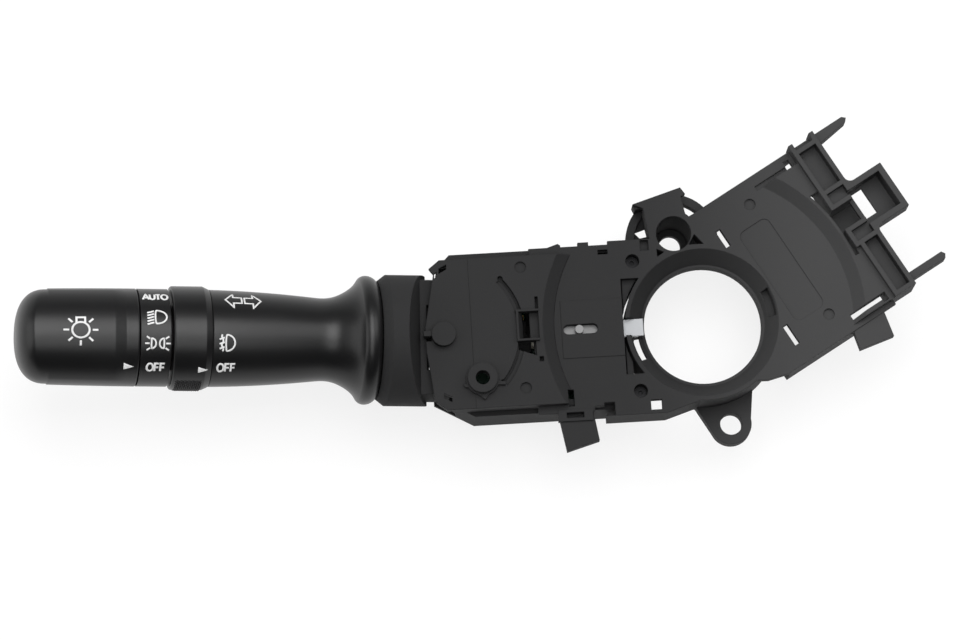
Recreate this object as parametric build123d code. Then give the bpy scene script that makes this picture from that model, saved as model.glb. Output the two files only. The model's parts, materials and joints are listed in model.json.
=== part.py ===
from math import cos, radians, sin
import os

from build123d import *

# Combination stalk switch, millimetres. The origin is on the steering column's axis, in the middle
# of the bore's lip. +Z points at the driver, and the light stalk reaches towards -X.

# Heights of the main faces
Z_PLATE = 8.0
PLATE_T = 2.5
COVER_RISE = 3.0
COVER_T = 2.2
Z_LEVER = 0.5
Z_CASE_FLOOR = -12.0
CASE_FLOOR_T = 2.0
SHOULDER_DROP = 5.0

# Column ring
BORE_R = 16.6
LIP_T = 4.0
LIP_FLAT = 0.8
BOWL_R = 21.0
RING_R = 22.2
RING_INNER_R = 19.5
RING_DEPTH = 18.0
ARC_SLOT_IN = 18.6
ARC_SLOT_OUT = 20.6
ARC_SLOT_FROM = 187.0
ARC_SLOT_SWEEP = 21.5
ARC_SLOT_LAND = 6.5
LIP_RIM = 0.9
RECESS_FROM = 3.0
RECESS_SWEEP = 23.0
RECESS_DROP = 5.5

# Conical step that clears the round contact reel on both sides
STEP_R = 42.1
STEP_TOP_R = 45.5

# Middle plate between the ring and the switch cover
MID_EDGE_X = -22.7
MID_LAP_X = -48.0
MID_HALF = 23.6
MID_LOW_X = -29.9
MID_LOW_Y = -25.1
MID_CORNER_X = -11.9
GAP_HALF = 13.6
SKIRT_X = -28.6
SKIRT_T = 1.4
SKIRT_DROP = 14.0
BUMP_W = 3.0
BUMP_H = 1.0
CLIP_T = 3.6
CLIP_SINK = 0.4
WINDOW_SINK = 1.0
STEP_WINDOW_LEFT = -39.5
STEP_WINDOW_TOP = -17.1
STEP_WINDOW_W = 1.7
STEP_WINDOW_L = 4.7
SCREW_X = -19.0
SCREW_Y = 18.5
SCREW_HOLE_R = 1.95
SCREW_HEAD_R = 1.85
SCREW_HEAD_T = 1.6
SCREW_R = 1.4
SCREW_L = 6.0
BOSS_R = 3.2
BOSS_DROP = 4.0
LEDGE_T = 1.0
LUG_R = 3.6
LUG_T = 5.5
PAD_H = 0.2
PAD_HALF = 8.2
SLOT_X = -34.75
SLOT_L = 9.7
SLOT_W = 2.75

# Column fixings: the screw tube at the top and the ear at the bottom
TUBE_X = -6.9
TUBE_Y = 25.7
TUBE_R = 6.6
TUBE_BORE_R = 4.95
TUBE_FLOOR_DEPTH = 20.0
TUBE_FLOOR_T = 3.0
FIX_HOLE_R = 3.1
FLANGE_R = 13.0
FLANGE_W = 2.4
FLANGE_DROP = 9.0
FLANGE_T = 4.0
FLANGE_FLOOR_T = 1.5
HOOK_T = 3.0
HOOK_WALL_DROP = 8.0
POCKET_DROP = 6.5
EAR_X = 6.6
EAR_Y = -27.3
EAR_R = 5.8
EAR_T = 5.0

# Open arm that takes the second switch
ARM_ANGLE = 30.0
ARM_TOP = 27.4
ARM_BOTTOM = -25.3
ARM_RIB = 47.0
END_L = 8.2
RAIL_T = 1.5
RAIL_DROP = 12.0
END_DROP = 9.0
END_FLOOR_T = 1.5
END_WALL = 1.3
END_RISE = 2.0
END_POCKET = 4.5
CELL_L = 3.4
CELL_DROP = 3.0
LOOP_L = 10.9
LOOP_LOW = -4.4
LOOP_HIGH = 10.1
LOOP_WALL = 1.7
LOOP_DROP = 4.0
LOOP_ROUND = 2.0
WINDOW_LOW = -0.4
WINDOW_HIGH = 7.6
WINDOW_L = 3.6
STOP_RISE = 0.7
PRONG_L = 10.6
PRONG_LOW_L = 12.2
PRONG_W = 2.2
PRONG_T = 6.0
RIM_T = 0.8
GUIDE_FROM = 33.4
GUIDE_LOW = 22.9
GUIDE_W = 1.4
PANEL_U = 26.6
PANEL_V = 0.5
PANEL_L = 30.0
PANEL_W = 9.7
PANEL_ROUND = 2.0
PANEL_SINK = 0.3
DIMPLE_R = 1.6
DIMPLE_SINK = 0.9

# Switch case and cover
CASE_LEFT = -76.5
CASE_RIGHT = -20.5
CASE_TOP = 24.0
CASE_LOW = 22.4
CASE_CORNER = 6.2
CASE_RUN = 10.9
CASE_LAP = 0.5
COVER_HALF = 21.3
COVER_LEFT = -78.3
COVER_RIGHT = -30.0
COVER_SHOULDER = 17.4
COVER_CORNER = 4.9
HORN_Y = 19.0
HORN_IN = 1.9
COVER_STEP_X = -65.4
COVER_STEP = 0.2
COVER_SEAT = 0.2
CASE_WALL = 1.8
MOUTH_HALF = 20.2
MOUTH_IN = 2.5
NOSE_X = -16.0
NOSE_LOW = 9.0
NOSE_HIGH = 16.5
GROOVE_IN = 20.95
GROOVE_OUT = 22.85
GROOVE_SLIT = 0.75
GROOVE_SINK = 1.2
GROOVE_FLOOR = 0.3
GROOVE_HALF = 42.0
POST_X = -63.2
POST_Y = -13.1
POST_R = 4.2
POST_H = 3.0
POST_HOLE_R = 2.0
POST_BASE_R = 4.7
POST_BASE_H = 1.0
BOX_RISE = 1.2
BOX_WALL = 0.6
COVER_WINDOW_DROP = 2.6
COLUMN_CLEAR = 0.5

# Turn pivot and carrier
PIVOT_X = -73.3
REST_TURN = -2.6
REST_TILT = 8.0
TURN_RANGE = 9.0
TILT_RANGE = 5.0
SWING_CLEAR = 0.4
STEM_L = 5.6
STEM_LOW = -0.4
STEM_HIGH = 1.1
STEM_H = 1.6
DISC_R = 3.4
DISC_H = 2.2
TRUNNION_TOP_R = 2.0
TRUNNION_LOW_R = 2.5
FIT = 0.05
SEAT_FIT = 0.02
PRESS_FIT = 0.01
CARRIER_FRONT = 3.5
CARRIER_BACK = 9.0
CARRIER_HALF = 8.0
CARRIER_ARM = 3.5
CARRIER_TOP = 7.9
CARRIER_LOW = -8.5
BRIDGE_TOP_T = 3.2
BRIDGE_LOW_T = 3.8
TAIL_L = 25.0
TAIL_HALF = 2.6
TAIL_T = 3.0
DRIVE_R = 1.25
DRIVE_S = 20.0
DRIVE_L = 1.9
DIMMER_S = 12.0
DIMMER_R = 2.0
DIMMER_L = 6.0
DETENT_R = 1.2
DETENT_OUT = 2.0
DETENT_IN = 4.0
DETENT_BORE = 7.0
DETENT_GAP = 0.4
PIN_R = 1.5

# Lever, distances measured outwards from the pivot
BARREL_R = 18.45
BARREL_END = 19.2
LEVER_GAP = 0.4
RING_GAP = 0.2
GROOVE_L = 0.8
BARREL_TOP = 9.3
BARREL_SLOPE = 0.24
LOBE_R = 17.2
LOBE_IN = 1.5
LOBE_OUT = 8.0
LOBE_TOP = 6.8
LOBE_LOW = -8.5
LOBE_GAP = 1.2
RIB_GAP = 0.56
RIB_HALF = 3.0
BARREL_RIM_R = 16.5
BARREL_CHAMFER = 2.5
TONGUE_BACK = 14.0
TONGUE_HALF = 4.2
TONGUE_HALF_H = 3.0
CORE_R = 9.0
CORE_BORE_R = 6.0
CORE_IN = 10.5
CORE_SHORT = 0.35
LAND_L = 6.0
STALK_BELL_R = 18.0
BELL_ROUND = 1.3
STALK_NECK_R = 11.5
STALK_BELL_L = 14.9
STALK_END_R = 13.6
STALK_L = 47.0
STALK_WALL = 2.4
FOG_L = 10.8
FOG_R = 14.5
INDEX_L = 8.35
INDEX_R = 13.65
KNOB_L = 33.65
KNOB_R = 13.65
KNOB_NOSE_R = 12.7
KNOB_NOSE_L = 9.0
KNOB_WALL = 2.2
KNOB_HUB_R = 5.5
SHAFT_R = 3.0
SHAFT_COVER = 6.0
ROTOR_AT = 22.5
ROTOR_R = 5.6
ROTOR_T = 3.0
CONTACT_PLATE_T = 1.6

# Cancel plunger
PLUNGER_TIP = -17.0
PLUNGER_BACK = -40.0
PLUNGER_HALF = 2.4
PLUNGER_T = 2.3
PLUNGER_PIN_X = -35.1
PLUNGER_PIN_R = 1.2
SLIDE_GAP = 0.1
GUIDE_T = 1.2
SPRING_R = 1.0
SPRING_WIRE = 0.4

# Contacts and connector
BOARD_T = 1.6
BOARD_LEFT = -66.0
BOARD_RIGHT = -25.0
BOARD_GAP = 1.6
SLIDER_L = 14.0
SLIDER_W = 8.0
SLIDER_T = 1.8
RAIL_W = 1.1
LEAF_T = 0.15
PAD_T = 0.08
CONTACT_GAP = 0.07
SOCKET_X = -36.0
SOCKET_L = 20.0
SOCKET_W = 15.0
SOCKET_DEPTH = 13.0
SOCKET_WALL = 1.6
HEADER_T = 2.0
PIN_W = 0.8
PIN_PITCH = 2.5
PIN_COLUMNS = 6
PIN_ROWS = 2

Z_PLATE_BACK = Z_PLATE - PLATE_T
Z_COVER = Z_PLATE + COVER_RISE
Z_COVER_BACK = Z_COVER - COVER_T
Z_CASE_BACK = Z_CASE_FLOOR - CASE_FLOOR_T
Z_SHOULDER = Z_PLATE - SHOULDER_DROP
Z_LUG = Z_PLATE_BACK - BOSS_DROP
Z_END = Z_COVER + END_RISE
Z_BOARD = Z_CASE_FLOOR + BOARD_T
Z_SLIDER = Z_BOARD + PAD_T + CONTACT_GAP + LEAF_T
REST = Pos(PIVOT_X, 0, Z_LEVER) * Rot(0, 0, REST_TURN)
RAKE = Rot(0, REST_TILT, 0)
LEVER = REST * RAKE
ARM = Rot(0, 0, ARM_ANGLE)
DRIVE_X = PIVOT_X + DRIVE_S * cos(radians(REST_TURN))
DRIVE_Y = DRIVE_S * sin(radians(REST_TURN))
ARM_END = ARM_RIB + END_L
LOOP_END = ARM_END + LOOP_L
BOARD_HALF = CASE_LOW - CASE_WALL - BOARD_GAP
UPPER_HALF = COVER_HALF - COVER_SEAT
STALK_START = BARREL_END + LEVER_GAP
STALK_NECK = STALK_START + STALK_BELL_L
STALK_END = STALK_START + STALK_L
FOG_START = STALK_END + RING_GAP
FOG_END = FOG_START + FOG_L
INDEX_START = FOG_END + GROOVE_L
INDEX_END = INDEX_START + INDEX_L
CORE_END = INDEX_END - CORE_SHORT
KNOB_START = INDEX_END + RING_GAP
KNOB_END = KNOB_START + KNOB_L


def block(x0, x1, y0, y1, z0, z1):
    """Box between two corners."""
    box = Box(x1 - x0, y1 - y0, z1 - z0, align=(Align.MIN, Align.MIN, Align.MIN))
    return Pos(x0, y0, z0) * box


def rod(radius, z0, z1, x=0.0, y=0.0):
    """Upright cylinder between two heights."""
    return Pos(x, y, z0) * Cylinder(radius, z1 - z0, align=(Align.CENTER, Align.CENTER, Align.MIN))


def prism(points, z0, z1):
    """Flat outline raised between two heights."""
    return Pos(0, 0, z0) * extrude(make_face(Polyline(*points, close=True)), z1 - z0)


def axle(radius, s0, s1):
    """Round bar along the lever, between two distances from the pivot."""
    bar = Cylinder(radius, s1 - s0, align=(Align.CENTER, Align.CENTER, Align.MIN))
    return Pos(-s0, 0, 0) * Rot(0, -90, 0) * bar


def turned(edges):
    """Closed profile of distance and radius, spun about the lever's axis."""
    return revolve(Plane.XZ * make_face(edges), Axis.X, 360)


def profile(points):
    """Lever profile points, given as distance from the pivot and radius."""
    return [(-s, r) for s, r in points]


# Column frame
def ring():
    """Tube round the column, before its opening is cut."""
    return rod(RING_R, Z_PLATE - RING_DEPTH, Z_PLATE)


def ring_opening():
    """Everything that is cut out inside the ring."""
    lip = rod(BORE_R, Z_PLATE - RING_DEPTH, Z_PLATE)
    below = rod(RING_INNER_R, Z_PLATE - RING_DEPTH, -LIP_T / 2)
    start = BORE_R + LIP_FLAT
    cone = Cone(start, BOWL_R, Z_PLATE - LIP_T / 2, align=(Align.CENTER, Align.CENTER, Align.MIN))
    return lip + below + Pos(0, 0, LIP_T / 2) * cone


def arc_band(inner, outer, start, sweep, z0, z1):
    """Part of a flat ring about the column, between two angles and two heights."""
    band = rod(outer, z0, z1) - rod(inner, z0, z1)
    reach = 2 * RING_R
    ends = [radians(start + k * sweep) for k in (0, 1)]
    wedge = [(0, 0)] + [(reach * cos(a), reach * sin(a)) for a in ends]
    return band & prism(wedge, z0, z1)


def bowl_slots():
    """Curved slot through the bowl below the cancel plunger, wider under its land, and a recess opposite."""
    z_low, z_land = Z_PLATE - RING_DEPTH, Z_PLATE - ARC_SLOT_LAND
    slot = arc_band(ARC_SLOT_IN, ARC_SLOT_OUT, ARC_SLOT_FROM, ARC_SLOT_SWEEP, z_low, Z_PLATE)
    slot += arc_band(BORE_R + LIP_RIM, ARC_SLOT_OUT, ARC_SLOT_FROM, ARC_SLOT_SWEEP, z_low, z_land)
    z_recess = Z_PLATE - RECESS_DROP
    return slot + arc_band(ARC_SLOT_IN, ARC_SLOT_OUT, RECESS_FROM, RECESS_SWEEP, z_recess, Z_PLATE)


def middle_plate():
    """Flat plate between the ring and the cover, with its corners that carry the case screws."""
    plate = block(MID_LAP_X, MID_EDGE_X, -MID_HALF, MID_HALF, Z_PLATE_BACK, Z_PLATE)
    top = [(MID_EDGE_X, GAP_HALF), (MID_EDGE_X, MID_HALF + BUMP_H), (-12, MID_HALF + BUMP_H), (-4, GAP_HALF)]
    low = [(MID_LOW_X, -GAP_HALF), (MID_LOW_X, MID_LOW_Y), (MID_CORNER_X, MID_LOW_Y)]
    low += [(-2.7, -RING_R), (-4, -GAP_HALF)]
    plate += prism(top, Z_PLATE_BACK, Z_PLATE) + prism(low, Z_PLATE_BACK, Z_PLATE)
    for x in (-34.1, -25.7):
        plate += block(x, x + BUMP_W, MID_HALF - 1, MID_HALF + BUMP_H, Z_PLATE_BACK, Z_PLATE)
    plate += prism([(-44.0, MID_HALF - 1), (-44.0, MID_HALF - 0.4), (-39.7, MID_HALF + BUMP_H),
                    (-39.0, MID_HALF + 0.5), (-39.0, MID_HALF - 1)], Z_PLATE_BACK, Z_PLATE)
    pad = block(-STEP_R + 2, MID_EDGE_X, -PAD_HALF, PAD_HALF, Z_PLATE - 1, Z_PLATE + PAD_H)
    pad &= rod(STEP_R - 0.5, Z_PLATE - 1, Z_COVER)
    for side in (-1, 1):
        plate += rod(BOSS_R, Z_LUG, Z_PLATE_BACK, SCREW_X, side * SCREW_Y)
    return plate + pad + skirt()


def skirt():
    """Wall below the lower edge of the middle plate, as far as the ring."""
    edge = [(SKIRT_X, MID_LOW_Y), (MID_CORNER_X, MID_LOW_Y), (-2.7, -RING_R)]
    inner = [(x, y + SKIRT_T) for x, y in reversed(edge)]
    return prism(edge + inner, Z_PLATE - SKIRT_DROP, Z_PLATE)


def plunger_guide():
    """Rails and lips under the middle plate that carry the cancel plunger, and its spring stop."""
    inner = PLUNGER_HALF + SLIDE_GAP
    z_low = Z_PLATE_BACK - PLUNGER_T - 2 * SLIDE_GAP
    body = block(-44, -24, -inner - GUIDE_T, inner + GUIDE_T, z_low - GUIDE_T, Z_PLATE_BACK)
    body -= block(-44, -24, -inner, inner, z_low, Z_PLATE_BACK)
    body -= block(-44, -24, -GUIDE_T, GUIDE_T, z_low - GUIDE_T, z_low)
    stop = block(MID_LAP_X, MID_LAP_X + GUIDE_T, -inner - GUIDE_T, inner + GUIDE_T, z_low, Z_PLATE_BACK)
    return body + stop


def middle_cuts():
    """Slot, screw holes, clip windows and the square hole of the middle plate."""
    low, high = Z_PLATE_BACK - WINDOW_SINK, Z_PLATE + PAD_H
    slot = Pos(SLOT_X, 0, low) * extrude(SlotOverall(SLOT_L, SLOT_W), high - low)
    for side in (-1, 1):
        slot += rod(SCREW_HOLE_R, Z_LUG + LEDGE_T, high, SCREW_X, side * SCREW_Y)
        slot += rod(SCREW_R + FIT, Z_LUG, Z_LUG + LEDGE_T, SCREW_X, side * SCREW_Y)
    slot += block(-16.4, -13.3, -24.0, -21.2, low, high)
    slot += top_window(low, high) + step_window(low, high)
    slot += block(-32.2, -29.4, -25.5, -22.1, low, high) + block(-29.5, -26.5, -24.9, -21.2, low, high)
    return slot + block(-16.6, -14.2, 21.3, 24.3, Z_PLATE - 2 * WINDOW_SINK, high)


def top_window(low, high):
    """Clip window near the upper edge of the middle plate."""
    return block(-28.6, -25.8, 20.9, 22.2, low, high)


def step_window(low, high):
    """Clip window at the lower end of the conical step."""
    right = STEP_WINDOW_LEFT + STEP_WINDOW_W
    return block(STEP_WINDOW_LEFT, right, STEP_WINDOW_TOP - STEP_WINDOW_L, STEP_WINDOW_TOP, low, high)


def screw_tube():
    """Tall tube for the upper column screw, its round flange and the hook plate above it."""
    z_floor = Z_PLATE - TUBE_FLOOR_DEPTH
    body = rod(TUBE_R, z_floor - TUBE_FLOOR_T, Z_PLATE, TUBE_X, TUBE_Y)
    z_flange = Z_PLATE - FLANGE_DROP
    z_under = z_flange - FLANGE_T
    disc = rod(FLANGE_R, z_under, z_flange, TUBE_X, TUBE_Y)
    disc -= rod(FLANGE_R - FLANGE_W, z_under + FLANGE_FLOOR_T, z_flange, TUBE_X, TUBE_Y)
    open_side = block(TUBE_X - TUBE_R, TUBE_X + FLANGE_R, TUBE_Y - FLANGE_R, TUBE_Y + FLANGE_R,
                      z_under, z_flange)
    disc -= rod(FLANGE_R - FLANGE_W, z_under, z_flange, TUBE_X, TUBE_Y) & open_side
    disc -= prism([(-17.3, 28.6), (-14.2, 29.6), (-13.7, 27.3), (-15.8, 26.9)], z_under, z_flange)
    disc -= rod(LUG_R + COLUMN_CLEAR, z_under, z_flange, SCREW_X, SCREW_Y)
    web = block(TUBE_X - FLANGE_R + 1, TUBE_X + FLANGE_R - 1, TUBE_Y - 1, TUBE_Y + 1, z_under, z_flange - 1)
    hook = [(-15.0, 33.4), (-17.9, 34.7), (-4.2, 38.8), (-2.9, 36.9), (-4.2, 36.2), (-3.0, 30.0), (2.2, 32.7)]
    hook += [(6.0, 22.0), (-12.0, 19.0), (-13.9, 25.6)]
    body += disc + web + prism(hook, Z_PLATE - HOOK_T, Z_PLATE)
    body += prism([(-13.6, 25.6), (-12.6, 18.0), (4.5, 21.0), (2.5, 27.0)], Z_PLATE - HOOK_WALL_DROP, Z_PLATE)
    side = [(-15.0, 33.4), (-13.9, 25.6), (-12.7, 25.6), (-13.8, 33.7)]
    body += prism(side, Z_PLATE - HOOK_WALL_DROP, Z_PLATE)
    lip = [(-17.9, 34.7), (-4.2, 38.8), (-3.7, 37.4), (-17.3, 33.3)]
    return body + prism(lip, Z_PLATE - HOOK_WALL_DROP, Z_PLATE - HOOK_T + 1)


def tube_bores():
    """Counterbore and screw hole of the tube, with two corner pockets beside it."""
    z_floor = Z_PLATE - TUBE_FLOOR_DEPTH
    bore = rod(TUBE_BORE_R, z_floor, Z_PLATE, TUBE_X, TUBE_Y)
    bore += rod(FIX_HOLE_R, z_floor - TUBE_FLOOR_T, z_floor, TUBE_X, TUBE_Y)
    bore += prism([(-1.1, 25.2), (-2.9, 22.3), (1.4, 22.3)], Z_PLATE - POCKET_DROP, Z_PLATE)
    return bore + prism([(-12.0, 21.6), (-11.9, 19.3), (-9.9, 20.6)], Z_PLATE - POCKET_DROP, Z_PLATE)


def ear():
    """Lower fixing ear, set back at the rear of the ring."""
    z_low = Z_PLATE - RING_DEPTH
    body = rod(EAR_R, z_low, z_low + EAR_T, EAR_X, EAR_Y)
    body += prism([(-4.5, -19.5), (1.5, -30.0), (11.9, -29.4), (13.3, -17.5)], z_low, z_low + EAR_T)
    return body


def clips():
    """Two hooked tabs at the lower edge that catch the round contact reel."""
    z_low, z_high = Z_PLATE - CLIP_SINK - CLIP_T, Z_PLATE - CLIP_SINK
    left = [(-42.6, -MID_HALF + 1), (-32.8, -MID_HALF + 1), (-31.4, -31.7), (-40.6, -34.3)]
    right = [(41.0, -2.0), (50.2, 2.0), (53.1, -6.9), (43.4, -10.2)]
    body = Part() + prism(left, z_low, z_high)
    body += prism(right, z_low, z_high)
    body += block(-42.6, -32.8, -MID_HALF - 2.4, -MID_HALF + 1, Z_PLATE - 2, Z_PLATE + 0.2)
    return body - block(-40.2, -35.3, -25.1, -23.5, Z_PLATE - 2.6, Z_PLATE + 1)


def arm():
    """Open arm: plate, side rails, raised end with pockets, latch loop and prongs."""
    outline = [(0, 20), (18.25, ARM_TOP), (ARM_RIB + 1, ARM_TOP), (ARM_RIB + 1, ARM_BOTTOM)]
    outline += [(12, ARM_BOTTOM), (6, ARM_BOTTOM + 1.7), (0, -20)]
    body = prism(outline, Z_PLATE_BACK, Z_PLATE)
    raised = block(24, ARM_RIB + 1, ARM_BOTTOM + RAIL_T, GUIDE_LOW, Z_PLATE - CASE_LAP, Z_COVER)
    slope = STEP_TOP_R - STEP_R
    drop = CASE_LAP * slope / COVER_RISE
    cone = Cone(STEP_R - drop, STEP_TOP_R, COVER_RISE + CASE_LAP,
                align=(Align.CENTER, Align.CENTER, Align.MIN))
    body += raised - Pos(0, 0, Z_PLATE - CASE_LAP) * cone
    rim = rod(STEP_TOP_R + RIM_T, Z_PLATE_BACK, Z_COVER)
    body -= block(24, ARM_RIB - END_WALL, ARM_BOTTOM + 5, ARM_TOP - 6, Z_PLATE_BACK, Z_COVER - COVER_T) - rim
    body -= block(24, ARM_RIB + 1, LOOP_LOW - 3.6, LOOP_HIGH + 3, Z_PLATE_BACK, Z_COVER) - rim
    z_rail = Z_PLATE - RAIL_DROP
    body += block(18.3, ARM_END, ARM_TOP - RAIL_T, ARM_TOP, z_rail, Z_PLATE)
    body += block(12, ARM_RIB - END_L, ARM_BOTTOM, ARM_BOTTOM + RAIL_T, z_rail, Z_PLATE)
    return body + arm_end()


def arm_end():
    """Thin-walled end of the arm: two long pockets, two cells, the latch loop, its window and the prongs."""
    z_low, z_floor = Z_PLATE - END_DROP, Z_PLATE - END_DROP + END_FLOOR_T
    low, high = ARM_BOTTOM + END_WALL, ARM_TOP - RAIL_T
    body = block(ARM_RIB, ARM_END, low, high, z_low, Z_END)
    first, last = ARM_RIB + END_WALL, ARM_END - END_WALL
    low_cell, high_cell = WINDOW_LOW - END_WALL, WINDOW_HIGH - 0.3
    z_pocket, z_cell = Z_END - END_POCKET, Z_END - CELL_DROP
    body -= block(first, last, high_cell + CELL_L + END_WALL, high - END_WALL, z_pocket, Z_END)
    body -= block(first, last, high_cell, high_cell + CELL_L, z_cell, Z_END)
    body -= block(first, last, low_cell - CELL_L, low_cell, z_cell, Z_END)
    body -= block(first + END_WALL, last, low + END_WALL, low_cell - CELL_L - END_WALL, z_pocket, Z_END)
    body -= block(ARM_RIB, first, low, low_cell - CELL_L - END_WALL, Z_COVER, Z_END)
    body -= block(ARM_RIB, ARM_END, WINDOW_LOW, high_cell - END_WALL, z_floor, Z_END)
    loop = block(ARM_END - END_WALL, LOOP_END, LOOP_LOW, LOOP_HIGH, Z_PLATE - LOOP_DROP, Z_END)
    body += loop
    corners = body.edges().filter_by(Axis.Z).filter_by(lambda edge: abs(edge.center().X - ARM_END) < SEAT_FIT)
    roots = [edge for edge in corners if LOOP_LOW - 1 < edge.center().Y < LOOP_HIGH + 1]
    body = fillet([edge for edge in roots if edge.length > LOOP_DROP], LOOP_ROUND)
    body -= block(ARM_END - END_WALL, LOOP_END - LOOP_WALL, LOOP_LOW + LOOP_WALL, LOOP_HIGH - LOOP_WALL,
                  Z_PLATE - LOOP_DROP + END_FLOOR_T, Z_END)
    body -= block(ARM_END, ARM_END + WINDOW_L, WINDOW_LOW, WINDOW_HIGH, z_low, Z_END)
    return body + prongs() + end_bumps()


def prongs():
    """Two spring prongs past the end of the arm."""
    root, z_low = ARM_END - END_WALL, Z_PLATE - LOOP_DROP
    top, tip = ARM_TOP - 0.1, ARM_END + PRONG_L
    upper = [(root, top - 3), (root, top), (tip - 1, top), (tip, top - 0.9), (tip - 0.8, top - 1.8)]
    upper += [(ARM_END + 1, top - 3)]
    low, low_tip = ARM_BOTTOM + 3.0, ARM_END + PRONG_LOW_L
    lower = [(root, low), (root, low + PRONG_W), (low_tip - 0.7, low + PRONG_W), (low_tip, low + PRONG_W / 2)]
    lower += [(low_tip - 0.7, low)]
    return prism(upper, z_low, z_low + PRONG_T) + prism(lower, z_low, z_low + PRONG_T)


def end_bumps():
    """Two small stops on the upper rail, in line with the end's two walls."""
    stops = Part()
    for u in (ARM_RIB + END_WALL / 2, ARM_END - END_WALL / 2):
        left, right = u - END_WALL / 2, u + END_WALL / 2
        stops += block(left, right, ARM_TOP - 2, ARM_TOP + STOP_RISE, Z_PLATE - LOOP_DROP, Z_END)
    return stops


def arm_cuts():
    """Guide slots, dimples and the shallow panel of the arm's plate."""
    low, high = Z_PLATE_BACK - WINDOW_SINK, Z_COVER
    cut = block(GUIDE_FROM, ARM_RIB - END_WALL, GUIDE_LOW, GUIDE_LOW + GUIDE_W, Z_PLATE - WINDOW_SINK, high)
    cut += block(ARM_RIB - 3, ARM_RIB - END_WALL, GUIDE_LOW, GUIDE_LOW + 2 * GUIDE_W, low, high)
    cut += block(35.4, ARM_RIB - 0.3, -22.5, -20.9, low, high)
    cut += block(ARM_RIB - 2, ARM_RIB - 0.3, -23.4, -20.9, low, high)
    cut += block(17.7, 19.2, -19.6, -13.3, low, high) + block(17.0, 18.5, 14.1, 19.6, low, high)
    for u, v in ((30.6, -17.4), (29.5, 20.8)):
        cut += rod(DIMPLE_R, Z_PLATE - DIMPLE_SINK, high, u, v)
    panel = extrude(RectangleRounded(PANEL_W, PANEL_L, PANEL_ROUND), 1)
    return cut + Pos(PANEL_U, PANEL_V, Z_PLATE - PANEL_SINK) * panel


def make_column_frame():
    """Main moulding: ring, middle plate, screw tube, ear, clips and open arm."""
    outside = middle_plate() + screw_tube() + ear() + clips() + ARM * arm()
    outside -= rod(RING_R - 0.5, Z_PLATE - 2 * RING_DEPTH, Z_COVER + 1)
    body = outside + ring() + plunger_guide()
    body = body - ring_opening() - bowl_slots() - middle_cuts() - tube_bores() - ARM * arm_cuts()
    body -= rod(FIX_HOLE_R, Z_PLATE - RING_DEPTH, Z_PLATE - RING_DEPTH + EAR_T, EAR_X, EAR_Y)
    half = PLUNGER_HALF + SLIDE_GAP
    z_slot = Z_PLATE_BACK - PLUNGER_T - 2 * SLIDE_GAP
    body -= block(-RING_R - 1, -BORE_R + 1, -half, half, z_slot, Z_PLATE)
    return body


# Switch case, cover and what they hold
def cover_outline(half, left):
    """Cover's outline, its left edge cut back to clear the barrel at both ends of its swing and tilt."""
    back = BARREL_TOP - BARREL_SLOPE * (BARREL_R + Z_LEVER - Z_COVER_BACK)
    back -= (Z_COVER - Z_LEVER) * sin(radians(TILT_RANGE)) + SWING_CLEAR
    sides = []
    for side in (-1, 1):
        a = radians(TURN_RANGE - side * REST_TURN)
        free = PIVOT_X - back * cos(a)
        sides.append([(left, side * (left - free) / sin(a)),
                      (free + COVER_SHOULDER * sin(a), side * COVER_SHOULDER),
                      (left + HORN_IN, side * HORN_Y), (left + COVER_CORNER, side * half),
                      (COVER_RIGHT, side * half)])
    return sides[0] + sides[1][::-1]


def make_switch_cover():
    """Raised front cover with pivot boss, swing groove, box pocket and guide post."""
    body = prism(cover_outline(COVER_HALF, COVER_LEFT), Z_PLATE, Z_COVER)
    cone = Cone(STEP_R, STEP_TOP_R, COVER_RISE, align=(Align.CENTER, Align.CENTER, Align.MIN))
    body -= Pos(0, 0, Z_PLATE) * cone
    inner = COVER_HALF - CASE_WALL
    body -= block(CASE_LEFT - 5, MID_LAP_X - 1, -inner, inner, Z_PLATE, Z_COVER_BACK)
    z_step = Z_COVER - COVER_STEP
    body -= block(COVER_LEFT - 1, COVER_STEP_X, -COVER_HALF, COVER_HALF, z_step, Z_COVER)
    body += block(PIVOT_X - STEM_L, PIVOT_X, STEM_LOW, STEM_HIGH, Z_COVER_BACK, Z_COVER + STEM_H)
    body -= block(COVER_LEFT, PIVOT_X - DISC_R, 4 * STEM_LOW, STEM_LOW, Z_PLATE, Z_COVER)
    body += rod(DISC_R, Z_COVER_BACK, Z_COVER + DISC_H, PIVOT_X)
    body -= rod(TRUNNION_TOP_R + FIT, Z_COVER_BACK, Z_COVER + DISC_H - 1, PIVOT_X)
    for x, y in ((-50.7, 18.0), (-51.2, -16.3)):
        body -= rod(DIMPLE_R, Z_COVER - DIMPLE_SINK, Z_COVER, x, y)
    body -= swing_groove() + cover_windows()
    body -= block(STEP_WINDOW_LEFT, MID_EDGE_X, -COVER_HALF, STEP_WINDOW_TOP, Z_PLATE, Z_COVER)
    return box_pocket(body) + guide_post() - rod(POST_HOLE_R, Z_COVER_BACK, Z_COVER + POST_H, POST_X, POST_Y)


def guide_post():
    """Hollow post on a round base with three small feet, before its hole is cut."""
    post = rod(POST_R, Z_COVER_BACK, Z_COVER + POST_H, POST_X, POST_Y)
    feet = [[(-5.5, -1.4), (-3.0, -1.0), (-3.0, -2.6), (-5.0, -2.2)],
            [(-2.4, -3.6), (0.4, -6.0), (2.2, -3.6)],
            [(3.6, -0.7), (6.5, -1.2), (6.3, -2.1), (3.6, -1.9)]]
    base = rod(POST_BASE_R, Z_COVER_BACK, Z_COVER + POST_BASE_H)
    for foot in feet:
        base += prism(foot, Z_COVER_BACK, Z_COVER + POST_BASE_H)
    return post + Pos(POST_X, POST_Y, 0) * base


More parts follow.
